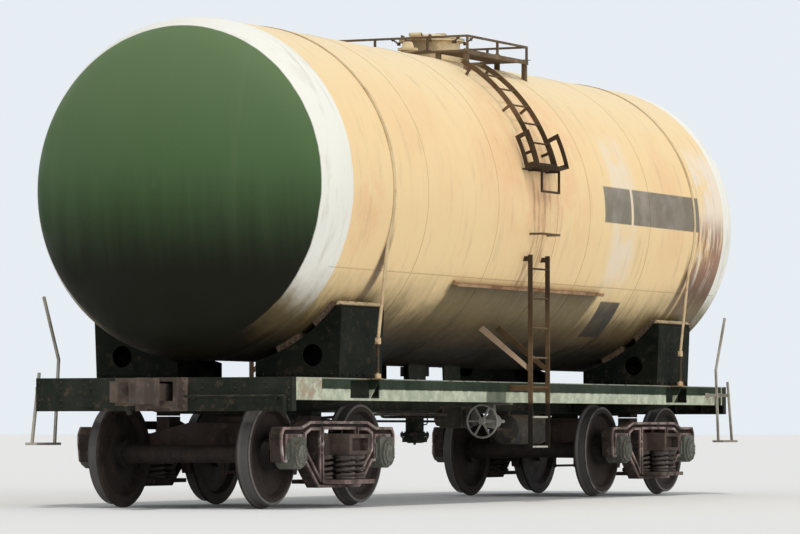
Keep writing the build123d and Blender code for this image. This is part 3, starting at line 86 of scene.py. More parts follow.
# Materials
class Paint:
    """A material's nodes, with short calls for the ones that repeat."""

    def __init__(self, name, roughness, gloss=0.3):
        self.material = bpy.data.materials.new(name)
        self.material.use_nodes = True
        self.tree = self.material.node_tree
        self.shader = self.tree.nodes["Principled BSDF"]
        self.shader.inputs["Roughness"].default_value = roughness
        self.shader.inputs["Specular IOR Level"].default_value = gloss
        self.coords = self.tree.nodes.new("ShaderNodeTexCoord").outputs["Object"]
        self.rounded = None

    def put(self, socket, value):
        if isinstance(value, bpy.types.NodeSocket):
            self.tree.links.new(value, socket)
        elif isinstance(value, tuple) and len(value) == 3 and len(socket.default_value) == 4:
            socket.default_value = (*value, 1.0)
        else:
            socket.default_value = value

    def mapped(self, scale):
        node = self.tree.nodes.new("ShaderNodeMapping")
        self.put(node.inputs["Vector"], self.coords)
        node.inputs["Scale"].default_value = scale
        return node.outputs["Vector"]

    def noise(self, scale, detail=4.0, rough=0.6, vector=None):
        node = self.tree.nodes.new("ShaderNodeTexNoise")
        self.put(node.inputs["Vector"], vector or self.coords)
        node.inputs["Scale"].default_value = scale
        node.inputs["Detail"].default_value = detail
        node.inputs["Roughness"].default_value = rough
        return node.outputs["Fac"]

    def axis(self, name):
        node = self.tree.nodes.new("ShaderNodeSeparateXYZ")
        self.put(node.inputs["Vector"], self.coords)
        return node.outputs[name]

    def up(self):
        geometry = self.tree.nodes.new("ShaderNodeNewGeometry")
        node = self.tree.nodes.new("ShaderNodeSeparateXYZ")
        self.put(node.inputs["Vector"], geometry.outputs["Normal"])
        return node.outputs["Z"]

    def vector(self, x, y, z):
        node = self.tree.nodes.new("ShaderNodeCombineXYZ")
        for socket, value in zip(node.inputs, (x, y, z)):
            self.put(socket, value)
        return node.outputs[0]

    def math(self, kind, a, b=0.0):
        node = self.tree.nodes.new("ShaderNodeMath")
        node.operation = kind
        for socket, value in zip(node.inputs, (a, b)):
            self.put(socket, value)
        return node.outputs[0]

    def times(self, *factors):
        result = factors[0]
        for factor in factors[1:]:
            result = self.math("MULTIPLY", result, factor)
        return result

    def most(self, *values):
        result = values[0]
        for value in values[1:]:
            result = self.math("MAXIMUM", result, value)
        return result

    def step(self, value, low, high, out_low=0.0, out_high=1.0):
        """A soft step from one value to another. It falls where low is above high."""
        node = self.tree.nodes.new("ShaderNodeMapRange")
        node.interpolation_type = "SMOOTHSTEP"
        self.put(node.inputs["Value"], value)
        node.inputs["From Min"].default_value = min(low, high)
        node.inputs["From Max"].default_value = max(low, high)
        node.inputs["To Min"].default_value = out_low if low < high else out_high
        node.inputs["To Max"].default_value = out_high if low < high else out_low
        return node.outputs["Result"]

    def within(self, value, low, high, soft):
        rise = self.step(value, low - soft, low + soft)
        return self.times(rise, self.step(value, high + soft, high - soft))

    def ragged(self, value, noise, width):
        """The value moved up and down by a noise, so that an edge at it is uneven."""
        return self.math("ADD", value, self.times(self.math("SUBTRACT", noise, 0.5), width))

    def distance(self, a, b):
        return self.math("SQRT", self.math("ADD", self.times(a, a), self.times(b, b)))

    def around(self, centre_z):
        """Degrees above the widest line, the same on both flanks."""
        side = self.math("ABSOLUTE", self.axis("Y"))
        angle = self.math("ARCTAN2", self.math("SUBTRACT", self.axis("Z"), centre_z), side)
        return self.math("DEGREES", angle)

    def over(self, colour, layer, *masks):
        """The colour under a layer that is as dense as the masks' product."""
        node = self.tree.nodes.new("ShaderNodeMix")
        node.data_type = "RGBA"
        self.put(node.inputs[0], self.times(*masks))
        self.put(node.inputs[6], colour)
        self.put(node.inputs[7], layer)
        return node.outputs[2]

    def edges(self, radius):
        """One on a worn corner, nought on the faces beside it."""
        bevel = self.tree.nodes.new("ShaderNodeBevel")
        bevel.samples = 4
        bevel.inputs["Radius"].default_value = radius
        plain = self.tree.nodes.new("ShaderNodeNewGeometry")
        dot = self.tree.nodes.new("ShaderNodeVectorMath")
        dot.operation = "DOT_PRODUCT"
        self.rounded = bevel.outputs["Normal"]
        self.put(dot.inputs[0], self.rounded)
        self.put(dot.inputs[1], plain.outputs["Normal"])
        return self.step(self.math("SUBTRACT", 1.0, dot.outputs["Value"]), 0.02, 0.30)

    def colour(self, value):
        self.put(self.shader.inputs["Base Color"], value)

    def rough(self, value):
        self.put(self.shader.inputs["Roughness"], value)

    def bump(self, height, strength, distance):
        node = self.tree.nodes.new("ShaderNodeBump")
        node.inputs["Strength"].default_value = strength
        node.inputs["Distance"].default_value = distance
        self.put(node.inputs["Height"], height)
        if self.rounded:
            self.put(node.inputs["Normal"], self.rounded)
        self.put(self.shader.inputs["Normal"], node.outputs["Normal"])


def use(material, *nodes):
    for name in nodes:
        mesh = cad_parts[name].data
        mesh.materials.clear()
        mesh.materials.append(material)


# Colours that the finishes share, as linear red, green and blue
CREAM = (0.89, 0.66, 0.35)
PALE_CREAM = (0.87, 0.70, 0.43)
PEACH = (0.84, 0.49, 0.26)
CHALK = (0.84, 0.76, 0.66)
RING_WHITE = (0.86, 0.85, 0.78)
END_GREEN = (0.061, 0.117, 0.043)
OLIVE_DIRT = (0.20, 0.155, 0.070)
SHADED_OLIVE = (0.110, 0.079, 0.031)
# Tones for the undersides: dirt, and painted shade
BROWN_DIRT_AND_SHADE = (0.098, 0.067, 0.026)
BLACK_DIRT_AND_SHADE = (0.011, 0.0095, 0.0065)
RUST = (0.26, 0.098, 0.040)
DARK_RUST = (0.095, 0.045, 0.025)
PANEL_GREY = (0.150, 0.137, 0.108)
SOOT_BLACK = (0.026, 0.023, 0.018)
DUST = (0.33, 0.235, 0.155)
SPILL = (0.120, 0.080, 0.042)


def streaks(paint):
    """Runs that follow the rain down the flank, narrow along the car and long down it."""
    wobble = paint.times(paint.noise(1.3), 0.05)
    across = paint.math("ADD", paint.axis("X"), wobble)
    drawn = paint.vector(paint.times(across, 9.0), paint.times(paint.around(TANK_Z), 0.035), 0.0)
    return paint.noise(1.0, 5.0, 0.65, drawn)


def road_dirt_and_shade(paint, colour, angle, runs):
    """Dirt thick on the underside of the tank, darkened there to near black as painted shade too, with a
    ragged upper edge.
    """
    rag = paint.times(paint.math("SUBTRACT", paint.noise(1.7, 6.0, 0.7), 0.5), 20.0)
    rag = paint.ragged(rag, runs, 16.0)
    far_end = paint.step(paint.axis("X"), 2.1, 3.6, 0.0, -4.5)
    low = paint.math("ADD", paint.math("ADD", angle, rag), far_end)
    # Olive, brown and near black towards the bottom: dirt, and painted shade under the tank
    colour = paint.over(colour, OLIVE_DIRT, paint.step(low, -25.0, -48.0), 0.80)
    colour = paint.over(colour, BROWN_DIRT_AND_SHADE, paint.step(low, -37.0, -52.0), 0.92)
    return paint.over(colour, BLACK_DIRT_AND_SHADE, paint.step(low, -47.0, -68.0), 0.95)


def ring_colour(paint, runs):
    """White, with the same runs as the rest of the tank."""
    return paint.over(RING_WHITE, OLIVE_DIRT, paint.step(runs, 0.50, 0.72), 0.24)


class TankPaint(Paint):
    """The barrel's paint, with the places and noises that its layers share."""

    def __init__(self, name):
        super().__init__(name, 0.55)
        self.x = self.axis("X")
        self.angle = self.around(TANK_Z)
        self.runs = streaks(self)
        self.broad = self.noise(0.55, 5.0, 0.62)
        self.middle = self.noise(2.1, 6.0, 0.65)
        self.fine = self.noise(26.0, 5.0, 0.7)

    def patch(self, x0, x1, soft_x, low, high, soft_angle):
        """One inside a field of the flank, between two places and two angles."""
        return self.times(self.within(self.x, x0, x1, soft_x), self.within(self.angle, low, high, soft_angle))


def bleached_cream(paint):
    """The crown has paled in the sun, and the middle of the flank has gone peach."""
    colour = paint.over(CREAM, PALE_CREAM, paint.step(paint.angle, 18.0, 74.0))
    blotch = paint.step(paint.broad, 0.46, 0.66)
    colour = paint.over(colour, PEACH, blotch, paint.within(paint.angle, -20.0, 36.0, 16.0), 0.42)
    by_ladder = paint.patch(LADDER_X - 0.75, LADDER_X + 1.20, 0.60, -14.0, 50.0, 14.0)
    return paint.over(colour, PEACH, by_ladder, paint.step(paint.middle, 0.36, 0.60), 0.62)


def chalky_bands(paint, colour):
    """Broad bands, each the width of a repaint, and the rust low in the one by the end."""
    faded = paint.patch(1.52, 2.15, 0.10, -26.0, 30.0, 5.0)
    colour = paint.over(colour, CHALK, faded, paint.step(paint.middle, 0.30, 0.55), 0.55)
    last_course = paint.patch(3.96, RING_INNER_X, 0.03, -34.0, 30.0, 7.0)
    colour = paint.over(colour, CHALK, last_course, paint.step(paint.middle, 0.34, 0.52), 0.75)
    by_end = paint.within(paint.x, 3.90, RING_INNER_X, 0.03)
    stained = paint.times(by_end, paint.within(paint.angle, -40.0, 0.0, 7.0))
    colour = paint.over(colour, RUST, stained, paint.step(paint.runs, 0.36, 0.52), 0.85)
    below = paint.times(by_end, paint.step(paint.angle, -12.0, -30.0))
    colour = paint.over(colour, DARK_RUST, below, paint.step(paint.runs, 0.20, 0.50, 0.62, 0.92))
    first_course = paint.patch(-4.62, -4.0, 0.14, -22.0, 6.0, 9.0)
    return paint.over(colour, PEACH, first_course, paint.step(paint.middle, 0.44, 0.64), 0.50)


def rain_marks(paint, colour):
    """Runs, light on the flank, and peach specks."""
    colour = paint.over(colour, OLIVE_DIRT, paint.step(paint.runs, 0.52, 0.74), 0.20)
    speck = paint.step(paint.fine, 0.60, 0.72)
    return paint.over(colour, PEACH, speck, paint.step(paint.broad, 0.40, 0.62), 0.28)


def white_ring(paint, colour):
    """The ring's part on the barrel, with an uneven edge."""
    edge = paint.ragged(paint.math("ABSOLUTE", paint.x), paint.middle, 0.02)
    ring = paint.step(edge, RING_INNER_X - 0.006, RING_INNER_X + 0.006)
    return paint.over(colour, ring_colour(paint, paint.runs), ring)


def blank_plates(paint, colour):
    """Two grey plates side by side, painted on and blank."""
    plates = paint.times(paint.within(paint.angle, -3.0, 10.6, 0.25),
                         paint.within(paint.x, SIGN_X0, SIGN_X1, 0.006))
    split = paint.within(paint.x, SIGN_SPLIT - 0.03, SIGN_SPLIT + 0.03, 0.005)
    grey = paint.over(PANEL_GREY, CHALK, paint.step(paint.middle, 0.42, 0.70), 0.16)
    return paint.over(colour, grey, plates, paint.math("SUBTRACT", 1.0, split), 0.93)


def seam_lines(paint):
    """Where the weld seams hold dirt: on the rings, and more thinly on the long laps."""
    rings = paint.most(*[paint.within(paint.x, place - 0.006, place + 0.006, 0.004) for place in SEAM_X])
    lap = paint.within(paint.angle, SEAM_ANGLE - 0.22, SEAM_ANGLE + 0.22, 0.15)
    return paint.most(rings, paint.times(lap, 0.8))


def spilt_cargo(paint, colour):
    """Dark round the hatch, on the crown alone."""
    reach = paint.distance(paint.math("SUBTRACT", paint.x, HATCH_X), paint.axis("Y"))
    near = paint.times(paint.step(reach, 1.05, 0.36), paint.step(paint.middle, 0.38, 0.62))
    return paint.over(colour, SPILL, near, paint.step(paint.angle, 56.0, 68.0), 0.62)


def rust_runs_and_strap_shade(paint, colour):
    """Rust behind the strap rods, with painted shade in the gap there, and rust below the ladder's brackets
    and the shelf.
    """
    # Behind the strap rods: rust, and painted shade between rod and tank
    off = paint.math("SUBTRACT", paint.math("ABSOLUTE", paint.x), STRAP_X)
    strap_rust_and_shade = paint.times(paint.within(off, -0.10, 0.05, 0.035), paint.within(paint.angle, -44.0, -16.0, 9.0))
    colour = paint.over(colour, DARK_RUST, strap_rust_and_shade, paint.step(paint.runs, 0.20, 0.50), 0.85)
    brackets = paint.within(paint.x, LADDER_X - 0.24, LADDER_X + 0.26, 0.05)
    height = paint.within(paint.angle, -40.0, 12.0, 8.0)
    colour = paint.over(colour, RUST, brackets, paint.step(paint.runs, 0.44, 0.60), height, 0.50)
    shelf = paint.patch(SHELF_X0 - 0.05, SHELF_X1 + 0.04, 0.02, -35.0, SHELF_ANGLE, 1.6)
    return paint.over(colour, DARK_RUST, shelf, 0.55)


def shelf_shadow(paint, colour):
    """A painted shadow under the shelf: darker olive from its edge down."""
    below = paint.step(paint.angle, SHELF_ANGLE, SHELF_ANGLE - 1.0)
    under_shelf_shadow = paint.times(paint.within(paint.x, SHELF_X0, SHELF_X1, 0.03), below)
    return paint.over(colour, SHADED_OLIVE, under_shelf_shadow, paint.step(paint.middle, 0.20, 0.60, 0.91, 0.98))


def black_patch(paint, colour):
    """A leaning patch under the plates, painted over the dirt."""
    lean = paint.math("ADD", paint.x, paint.times(paint.math("ADD", paint.angle, 34.0), 0.0090))
    field = paint.times(paint.within(lean, 1.80, 2.33, 0.008), paint.within(paint.angle, -52.0, -34.0, 0.4))
    return paint.over(colour, SOOT_BLACK, field, paint.step(paint.middle, 0.30, 0.60, 0.80, 0.95))


def tank_cream():
    paint = TankPaint("tank_cream")
    colour = bleached_cream(paint)
    for layer in (chalky_bands, rain_marks, white_ring, blank_plates):
        colour = layer(paint, colour)
    seams = seam_lines(paint)
    colour = paint.over(colour, OLIVE_DIRT, seams, 0.34)
    for layer in (spilt_cargo, rust_runs_and_strap_shade, shelf_shadow):
        colour = layer(paint, colour)
    colour = road_dirt_and_shade(paint, colour, paint.angle, paint.runs)
    paint.colour(black_patch(paint, colour))
    paint.rough(paint.step(paint.noise(7.0, 4.0), 0.3, 0.7, 0.46, 0.66))
    grain = paint.math("ADD", paint.times(paint.fine, 0.10), seams)
    dents = paint.times(paint.noise(1.1, 2.0, 0.4), 1.4)
    paint.bump(paint.math("ADD", grain, dents), 0.30, 0.012)
    return paint.material


def end_green():
    """The dished ends: green, painted lighter at the crown as sunlight and near black below as grime and
    painted shade, inside the white ring.
    """
    second_green = (0.066, 0.122, 0.050)
    faded_green = (0.115, 0.140, 0.075)
    lit_crown_green = (0.165, 0.240, 0.115)
    tan_speck = (0.20, 0.17, 0.10)
    paint = Paint("end_green", 0.52, gloss=0.09)
    height = paint.axis("Z")
    broad = paint.noise(0.8, 5.0, 0.6)
    middle = paint.noise(3.0, 6.0, 0.66)
    drawn = paint.vector(paint.times(paint.axis("Y"), 7.0), 0.0, paint.times(height, 0.45))
    runs = paint.noise(1.0, 5.0, 0.65, drawn)
    colour = paint.over(END_GREEN, second_green, paint.step(broad, 0.36, 0.64))
    colour = paint.over(colour, faded_green, paint.step(runs, 0.54, 0.76), 0.30)
    # Painted sunlight: lighter green towards the crown
    colour = paint.over(colour, lit_crown_green, paint.step(height, TANK_Z - 0.3, TANK_Z + TANK_R), 0.62)
    speck = paint.step(paint.noise(24.0, 4.0, 0.7), 0.62, 0.72)
    colour = paint.over(colour, tan_speck, speck, paint.step(middle, 0.45, 0.65), 0.35)
    # Near black towards the bottom: grime, and painted shade under the end
    low = paint.ragged(height, runs, 0.36)
    colour = paint.over(colour, BLACK_DIRT_AND_SHADE, paint.step(low, TANK_Z + 0.30, TANK_Z - 0.85), 0.97)
    edge = paint.ragged(paint.math("ABSOLUTE", paint.axis("X")), middle, 0.022)
    ring = paint.step(edge, RING_OUTER_X + 0.007, RING_OUTER_X - 0.007)
    along = streaks(paint)
    white = road_dirt_and_shade(paint, ring_colour(paint, along), paint.around(TANK_Z), along)
    paint.colour(paint.over(colour, white, ring))
    paint.rough(paint.step(middle, 0.3, 0.7, 0.48, 0.68))
    paint.bump(paint.math("ADD", paint.times(middle, 0.25), paint.noise(0.9, 2.0, 0.4)), 0.25, 0.012)
    return paint.material


def two_tones(paint, base, second):
    """Broad clouds of a second colour on the first."""
    return paint.over(base, second, paint.step(paint.noise(2.2, 5.0, 0.65), 0.36, 0.64))


def weather(paint, colour, corner, radius, roughness, dust, chips):
    """Chips, worn corners, dust on what faces up, and the grain under it all."""
    middle = paint.noise(9.0, 6.0, 0.7)
    colour = paint.over(colour, corner, paint.step(middle, 0.52, 0.68), chips)
    colour = paint.over(colour, corner, paint.edges(radius), paint.step(middle, 0.34, 0.58), 0.85)
    lying = paint.times(paint.step(paint.up(), 0.35, 0.95), paint.step(middle, 0.24, 0.62))
    paint.colour(paint.over(colour, DUST, lying, dust))
    paint.rough(paint.step(middle, 0.3, 0.7, roughness - 0.12, min(1.0, roughness + 0.12)))
    paint.bump(paint.math("ADD", paint.times(paint.noise(30.0, 4.0, 0.7), 0.35), middle), 0.35, 0.004)
    return paint.material


def worn_steel(name, base, second, corner, radius=0.006, roughness=0.75, dust=0.5, chips=0.5):
    """Painted or cast steel in two tones."""
    paint = Paint(name, roughness, gloss=0.10)
    return weather(paint, two_tones(paint, base, second), corner, radius, roughness, dust, chips)


def strap_cream():
    """The tank's paint on the bands, on dark tension screws."""
    pale_band = (0.70, 0.55, 0.33)
    tan_band = (0.56, 0.41, 0.24)
    screw_black = (0.030, 0.026, 0.021)
    paint = Paint("strap_cream", 0.70, gloss=0.12)
    screw = paint.within(paint.axis("Z"), SILL_TOP + 0.052, SILL_TOP + 0.323, 0.004)
    colour = paint.over(two_tones(paint, pale_band, tan_band), screw_black, screw, 0.95)
    return weather(paint, colour, RUST, radius=0.006, roughness=0.70, dust=0.20, chips=0.45)


def side_frame_cast():
    """Side frames: pinkish dust on the outer ribs, and painted shade darkening the pockets and the inner
    side.
    """
    rib_pink = (0.40, 0.290, 0.265)
    rib_brown = (0.150, 0.112, 0.102)
    rib_dust = (0.52, 0.47, 0.43)
    shade_black = (0.028, 0.022, 0.020)
    shade_brown = (0.060, 0.045, 0.039)
    worn_pink = (0.40, 0.31, 0.28)
    paint = Paint("side_frame_cast", 0.88, gloss=0.10)
    broad = paint.noise(2.6, 5.0, 0.65)
    middle = paint.noise(7.0, 5.0, 0.65)
    ribs = paint.over(rib_pink, rib_brown, paint.step(broad, 0.42, 0.58))
    ribs = paint.over(ribs, rib_dust, paint.step(middle, 0.56, 0.66), 0.75)
    # Painted shade: near black in the pockets and on the inner side, the outer ribs taking the dust
    pocket_shade = paint.over(shade_black, shade_brown, paint.step(middle, 0.36, 0.64))
    side = paint.math("ABSOLUTE", paint.axis("Y"))
    outer = paint.step(side, JOURNAL_Y + 0.038, JOURNAL_Y + 0.064)
    high = paint.step(paint.axis("Z"), 0.26, 0.50, 0.45, 1.0)
    colour = paint.over(pocket_shade, ribs, outer, high, paint.step(middle, 0.30, 0.52, 0.35, 1.0))
    return weather(paint, colour, worn_pink, radius=0.008, roughness=0.88, dust=0.25, chips=0.15)


def ladder_brown():
    """Brown steel, near black at the tray, with the left brace and the rungs under the sill painted pale as
    lit.
    """
    brown = (0.098, 0.062, 0.033)
    light_brown = (0.170, 0.110, 0.060)
    tray_black = (0.024, 0.019, 0.014)
    stile_black = (0.014, 0.013, 0.011)
    lit_rung_pale = (0.44, 0.43, 0.37)
    lit_brace_tan = (0.60, 0.43, 0.30)
    worn_brown = (0.21, 0.145, 0.09)
    worn_black = (0.045, 0.038, 0.031)
    paint = Paint("ladder_brown", 0.75, gloss=0.10)
    x = paint.math("SUBTRACT", paint.axis("X"), LADDER_X)
    side = paint.math("ABSOLUTE", paint.axis("Y"))
    z = paint.axis("Z")
    middle = paint.noise(9.0, 6.0, 0.7)
    worn = paint.step(middle, 0.25, 0.45, 0.4, 1.0)
    sooty = paint.most(paint.within(z, 3.12, 3.86, 0.09), paint.within(z, 2.02, 2.60, 0.16))
    colour = paint.over(two_tones(paint, brown, light_brown), tray_black, sooty, 0.72)
    under = paint.step(z, SILL_LOW + 0.02, SILL_LOW - 0.03)
    colour = paint.over(colour, stile_black, under, 0.95)
    # Painted highlight: the rungs under the sill pale as lit
    colour = paint.over(colour, lit_rung_pale, under, paint.within(x, -0.203, 0.203, 0.003), worn)
    # Painted sunlight on the left brace alone
    lit_brace = paint.times(paint.within(z, 1.25, 1.80, 0.02), paint.step(side, 1.555, 1.535))
    colour = paint.over(colour, lit_brace_tan, lit_brace, paint.step(x, 0.0, -0.05), worn)
    corner = paint.over(worn_brown, worn_black, under)
    return weather(paint, colour, corner, radius=0.004, roughness=0.75, dust=0.30, chips=0.20)


def saddle_dark():
    """Nearly black plates, with a pale cream strip along the top painted as sunlight."""
    black = (0.008, 0.011, 0.008)
    second_black = (0.019, 0.021, 0.016)
    worn_brown = (0.10, 0.075, 0.055)
    paint = Paint("saddle_dark", 0.82, gloss=0.06)
    middle = paint.noise(9.0, 6.0, 0.7)
    # Painted sunlight: a pale strip along the top edge
    top = paint.step(paint.axis("Z"), SADDLE_TOP - 0.045, SADDLE_TOP - 0.020)
    colour = two_tones(paint, black, second_black)
    colour = paint.over(colour, PALE_CREAM, top, paint.step(middle, 0.28, 0.48), 0.80)
    return weather(paint, colour, worn_brown, radius=0.006, roughness=0.78, dust=0.25, chips=0.35)


def sill_green():
    """Dark green channel as painted shade under the tank, with a pale lower strip and a pale end panel
    painted as sunlight.
    """
    shaded_sill_green = (0.015, 0.026, 0.015)
    second_green = (0.032, 0.045, 0.028)
    sunlit_pale = (0.56, 0.60, 0.46)
    sunlit_grey = (0.37, 0.41, 0.31)
    panel_rust = (0.36, 0.22, 0.15)
    edge_highlight_grey = (0.40, 0.42, 0.34)
    rim_rust = (0.46, 0.31, 0.22)
    panel_x = 4.80
    paint = Paint("sill_green", 0.72, gloss=0.12)
    x = paint.axis("X")
    z = paint.axis("Z")
    far = paint.math("ABSOLUTE", x)
    broad = paint.noise(1.8, 5.0, 0.65)
    middle = paint.noise(8.0, 6.0, 0.7)
    colour = paint.over(shaded_sill_green, second_green, paint.step(broad, 0.36, 0.64))

    # Painted sunlight: the pale strip is the channel's lower part lit below the tank's painted shadow, and
    # the left end panel is lit whole. The strip is thin beside the ladder and stops short of one end, with an
    # upright mark there
    sunlit_strip = paint.step(paint.ragged(z, middle, 0.016), SILL_TOP - 0.098, SILL_TOP - 0.110)
    gap = paint.times(paint.within(x, -1.16, -0.68, 0.03), 0.75)
    sunlit_strip = paint.times(sunlit_strip, paint.step(x, 5.07, 5.03), paint.math("SUBTRACT", 1.0, gap))
    end_panel = paint.step(far, panel_x - 0.005, panel_x + 0.005)
    sunlit_left_panel = paint.times(end_panel, paint.step(x, 0.0, -0.1))
    # Painted sunlight on the strip and the left panel, and the pale upright mark
    pale = paint.most(sunlit_strip, sunlit_left_panel, paint.within(x, 5.24, 5.27, 0.004))
    sunlit_paint = paint.over(sunlit_pale, sunlit_grey, paint.step(middle, 0.34, 0.62))
    rusty = paint.times(end_panel, paint.step(broad, 0.42, 0.58), paint.step(middle, 0.42, 0.56))
    colour = paint.over(colour, paint.over(sunlit_paint, panel_rust, rusty, 0.6), pale)

    # A painted highlight along the channel's top edges, rusty by the straps
    rim = paint.times(paint.step(z, SILL_TOP - 0.011, SILL_TOP - 0.007), paint.step(middle, 0.30, 0.50))
    by_strap = paint.within(far, STRAP_X - 0.24, STRAP_X + 0.24, 0.10)
    colour = paint.over(colour, paint.over(edge_highlight_grey, rim_rust, by_strap), rim, 0.75)
    lying = paint.times(paint.step(paint.up(), 0.5, 0.95), paint.step(middle, 0.24, 0.62))
    paint.colour(paint.over(colour, DUST, lying, 0.45))
    paint.rough(paint.step(middle, 0.3, 0.7, 0.6, 0.85))
    paint.bump(paint.math("ADD", middle, paint.times(paint.noise(30.0, 4.0), 0.35)), 0.3, 0.004)
    return paint.material


def wheel_steel():
    """Dark rolled steel, with the tread and the flange's throat rubbed bright."""
    black = (0.016, 0.013, 0.012)
    brown_black = (0.040, 0.029, 0.024)
    brown_speck = (0.080, 0.058, 0.046)
    grease_black = (0.012, 0.011, 0.010)
    highlight_grey = (0.20, 0.19, 0.18)
    tread_grey = (0.105, 0.100, 0.095)
    rim_face = 0.838
    paint = Paint("wheel_steel", 0.6, gloss=0.2)
    middle = paint.noise(8.0, 6.0, 0.7)

    # How far a point lies from its own axle, the same for all four
    along = paint.math("SUBTRACT", paint.math("ABSOLUTE", paint.axis("X")), BOGIE_X["b"])
    along = paint.math("SUBTRACT", paint.math("ABSOLUTE", along), HALF_WHEELBASE)
    radius = paint.distance(along, paint.math("SUBTRACT", paint.axis("Z"), AXLE_Z))
    side = paint.math("ABSOLUTE", paint.axis("Y"))

    colour = paint.over(black, brown_black, paint.step(middle, 0.34, 0.66))
    colour = paint.over(colour, brown_speck, paint.step(paint.noise(30.0, 4.0), 0.52, 0.70), 0.35)
    grease = paint.within(radius, 0.10, 0.19, 0.03)
    colour = paint.over(colour, grease_black, grease, paint.step(middle, 0.36, 0.56), 0.7)
    # Painted highlight: a pale line round the rim's outer edge
    rim_highlight = paint.times(paint.within(radius, 0.448, 0.472, 0.004), paint.step(side, rim_face, rim_face + 0.010))
    colour = paint.over(colour, highlight_grey, rim_highlight, paint.step(middle, 0.28, 0.50), 0.70)
    rubbed = paint.times(paint.step(radius, 0.4700, 0.4735), paint.within(side, 0.745, rim_face, 0.006))
    paint.colour(paint.over(colour, tread_grey, rubbed, 0.80))
    dull = paint.step(middle, 0.3, 0.7, 0.55, 0.85)
    paint.rough(paint.math("SUBTRACT", dull, paint.times(rubbed, 0.30)))
    paint.bump(paint.math("ADD", middle, paint.times(paint.noise(60.0), 0.4)), 0.30, 0.003)
    return paint.material


def timber_dark():
    dark = (0.085, 0.055, 0.036)
    pale = (0.215, 0.160, 0.115)
    paint = Paint("timber_dark", 0.85, gloss=0.1)
    grain = paint.noise(1.0, 6.0, 0.7, paint.mapped((1.6, 34.0, 34.0)))
    paint.colour(paint.over(dark, pale, paint.step(grain, 0.36, 0.66)))
    paint.bump(grain, 0.5, 0.004)
    return paint.material


# Plain steels. Columns: the finish, its material's name, base colour, second tone, colour of
# the worn corners, and what differs from the usual wear.
STEELS = (
    ("shelf", "shelf_rust", (0.48, 0.31, 0.18), (0.24, 0.12, 0.065), DARK_RUST, {"dust": 0.2}),
    ("deck", "deck_brown", (0.105, 0.070, 0.042), (0.185, 0.130, 0.082), (0.34, 0.26, 0.18),
     {"radius": 0.005}),
    ("post", "post_grey", (0.47, 0.45, 0.38), (0.27, 0.25, 0.20), RUST, {"dust": 0.2, "chips": 0.35}),
    ("frame", "frame_dark", (0.012, 0.017, 0.012), (0.028, 0.030, 0.023), (0.11, 0.082, 0.060),
     {"dust": 0.30}),
    ("brake", "brake_black", (0.028, 0.027, 0.025), (0.062, 0.055, 0.046), (0.17, 0.135, 0.10),
     {"dust": 0.4}),
    ("cast", "cast_brown", (0.070, 0.056, 0.047), (0.150, 0.112, 0.090), (0.26, 0.20, 0.16),
     {"roughness": 0.85}),
    ("hand_wheel", "hand_wheel_grey", (0.27, 0.27, 0.24), (0.14, 0.135, 0.12), (0.38, 0.37, 0.33),
     {"radius": 0.004}),
    ("bogie", "bogie_brown", (0.060, 0.046, 0.040), (0.110, 0.082, 0.070), (0.20, 0.155, 0.13),
     {"roughness": 0.88}),
    ("spring", "spring_dusty", (0.105, 0.092, 0.088), (0.062, 0.052, 0.048), (0.24, 0.20, 0.18),
     {"radius": 0.004}),
    ("box", "box_grey", (0.150, 0.158, 0.135), (0.085, 0.085, 0.072), (0.30, 0.28, 0.24), {}),
)


def apply_finishes():
    """Every finish on its nodes. The new pieces take theirs from what comes back."""
    finishes = {name: worn_steel(*tones, **wear) for name, *tones, wear in STEELS}
    finishes["cream"] = tank_cream()
    use(finishes["cream"], "tank_barrel", "manhole_neck", "manhole_lid", "relief_valves")
    use(end_green(), "tank_head_a", "tank_head_b")
    finishes["strap"] = strap_cream()
    use(finishes["strap"], "tank_straps")
    use(finishes["shelf"], "drip_shelves")
    finishes["ladder"] = ladder_brown()
    use(finishes["ladder"], "ladder_near", "ladder_far")
    use(finishes["deck"], "platform_deck", "platform_rails")
    use(finishes["post"], "corner_steps")
    finishes["saddle"] = saddle_dark()
    use(finishes["saddle"], "saddle_a", "saddle_b")
    use(finishes["frame"], "centre_feet", "centre_sill_webs", "centre_sill_cover", "bolster_a",
        "bolster_b", "cross_members", "bottom_outlet", "uncoupling_levers", "end_beam_a", "end_beam_b")
    use(sill_green(), "side_sills")
    use(timber_dark(), "saddle_timbers")
    use(finishes["brake"], "brake_cylinder", "air_reservoir", "air_distributor", "train_pipe")
    use(finishes["hand_wheel"], "parking_brake")
    finishes["casting"] = side_frame_cast()
    for tag in "ab":
        use(finishes["cast"], f"striker_{tag}", f"yoke_{tag}", f"coupler_{tag}", f"coupler_lock_{tag}")
        use(finishes["casting"], f"side_frames_{tag}")
        use(finishes["bogie"], f"bogie_bolster_{tag}", f"friction_wedges_{tag}", f"brake_beams_{tag}")
        use(finishes["spring"], f"springs_{tag}")
        use(finishes["box"], f"axleboxes_{tag}")
    wheel = wheel_steel()
    for number in range(1, 5):
        use(wheel, f"wheels_{number}", f"axle_{number}")
    return finishes


# Shapes. Each adds one closed form to a bmesh.
TURNS = {
    "X": Matrix.Rotation(math.pi / 2, 4, "Y"),
    "Y": Matrix.Rotation(math.pi / 2, 4, "X"),
    "Z": Matrix.Identity(4),
}


def aimed(direction):
    """The turn that brings Z to a direction."""
    return direction.to_track_quat("Z", "Y").to_matrix().to_4x4()


def edges_of(verts):
    """The edges at some corners, each once."""
    return list(dict.fromkeys(edge for vert in verts for edge in vert.link_edges))


def soften(bm, made, width):
    """A small bevel on every edge that turns by more than 0.9 radians."""
    sharp = [edge for edge in edges_of(made) if len(edge.link_faces) == 2 and edge.calc_face_angle() > 0.9]
    bmesh.ops.bevel(bm, geom=sharp, offset=width, segments=2, profile=0.5, affect="EDGES", material=-1)


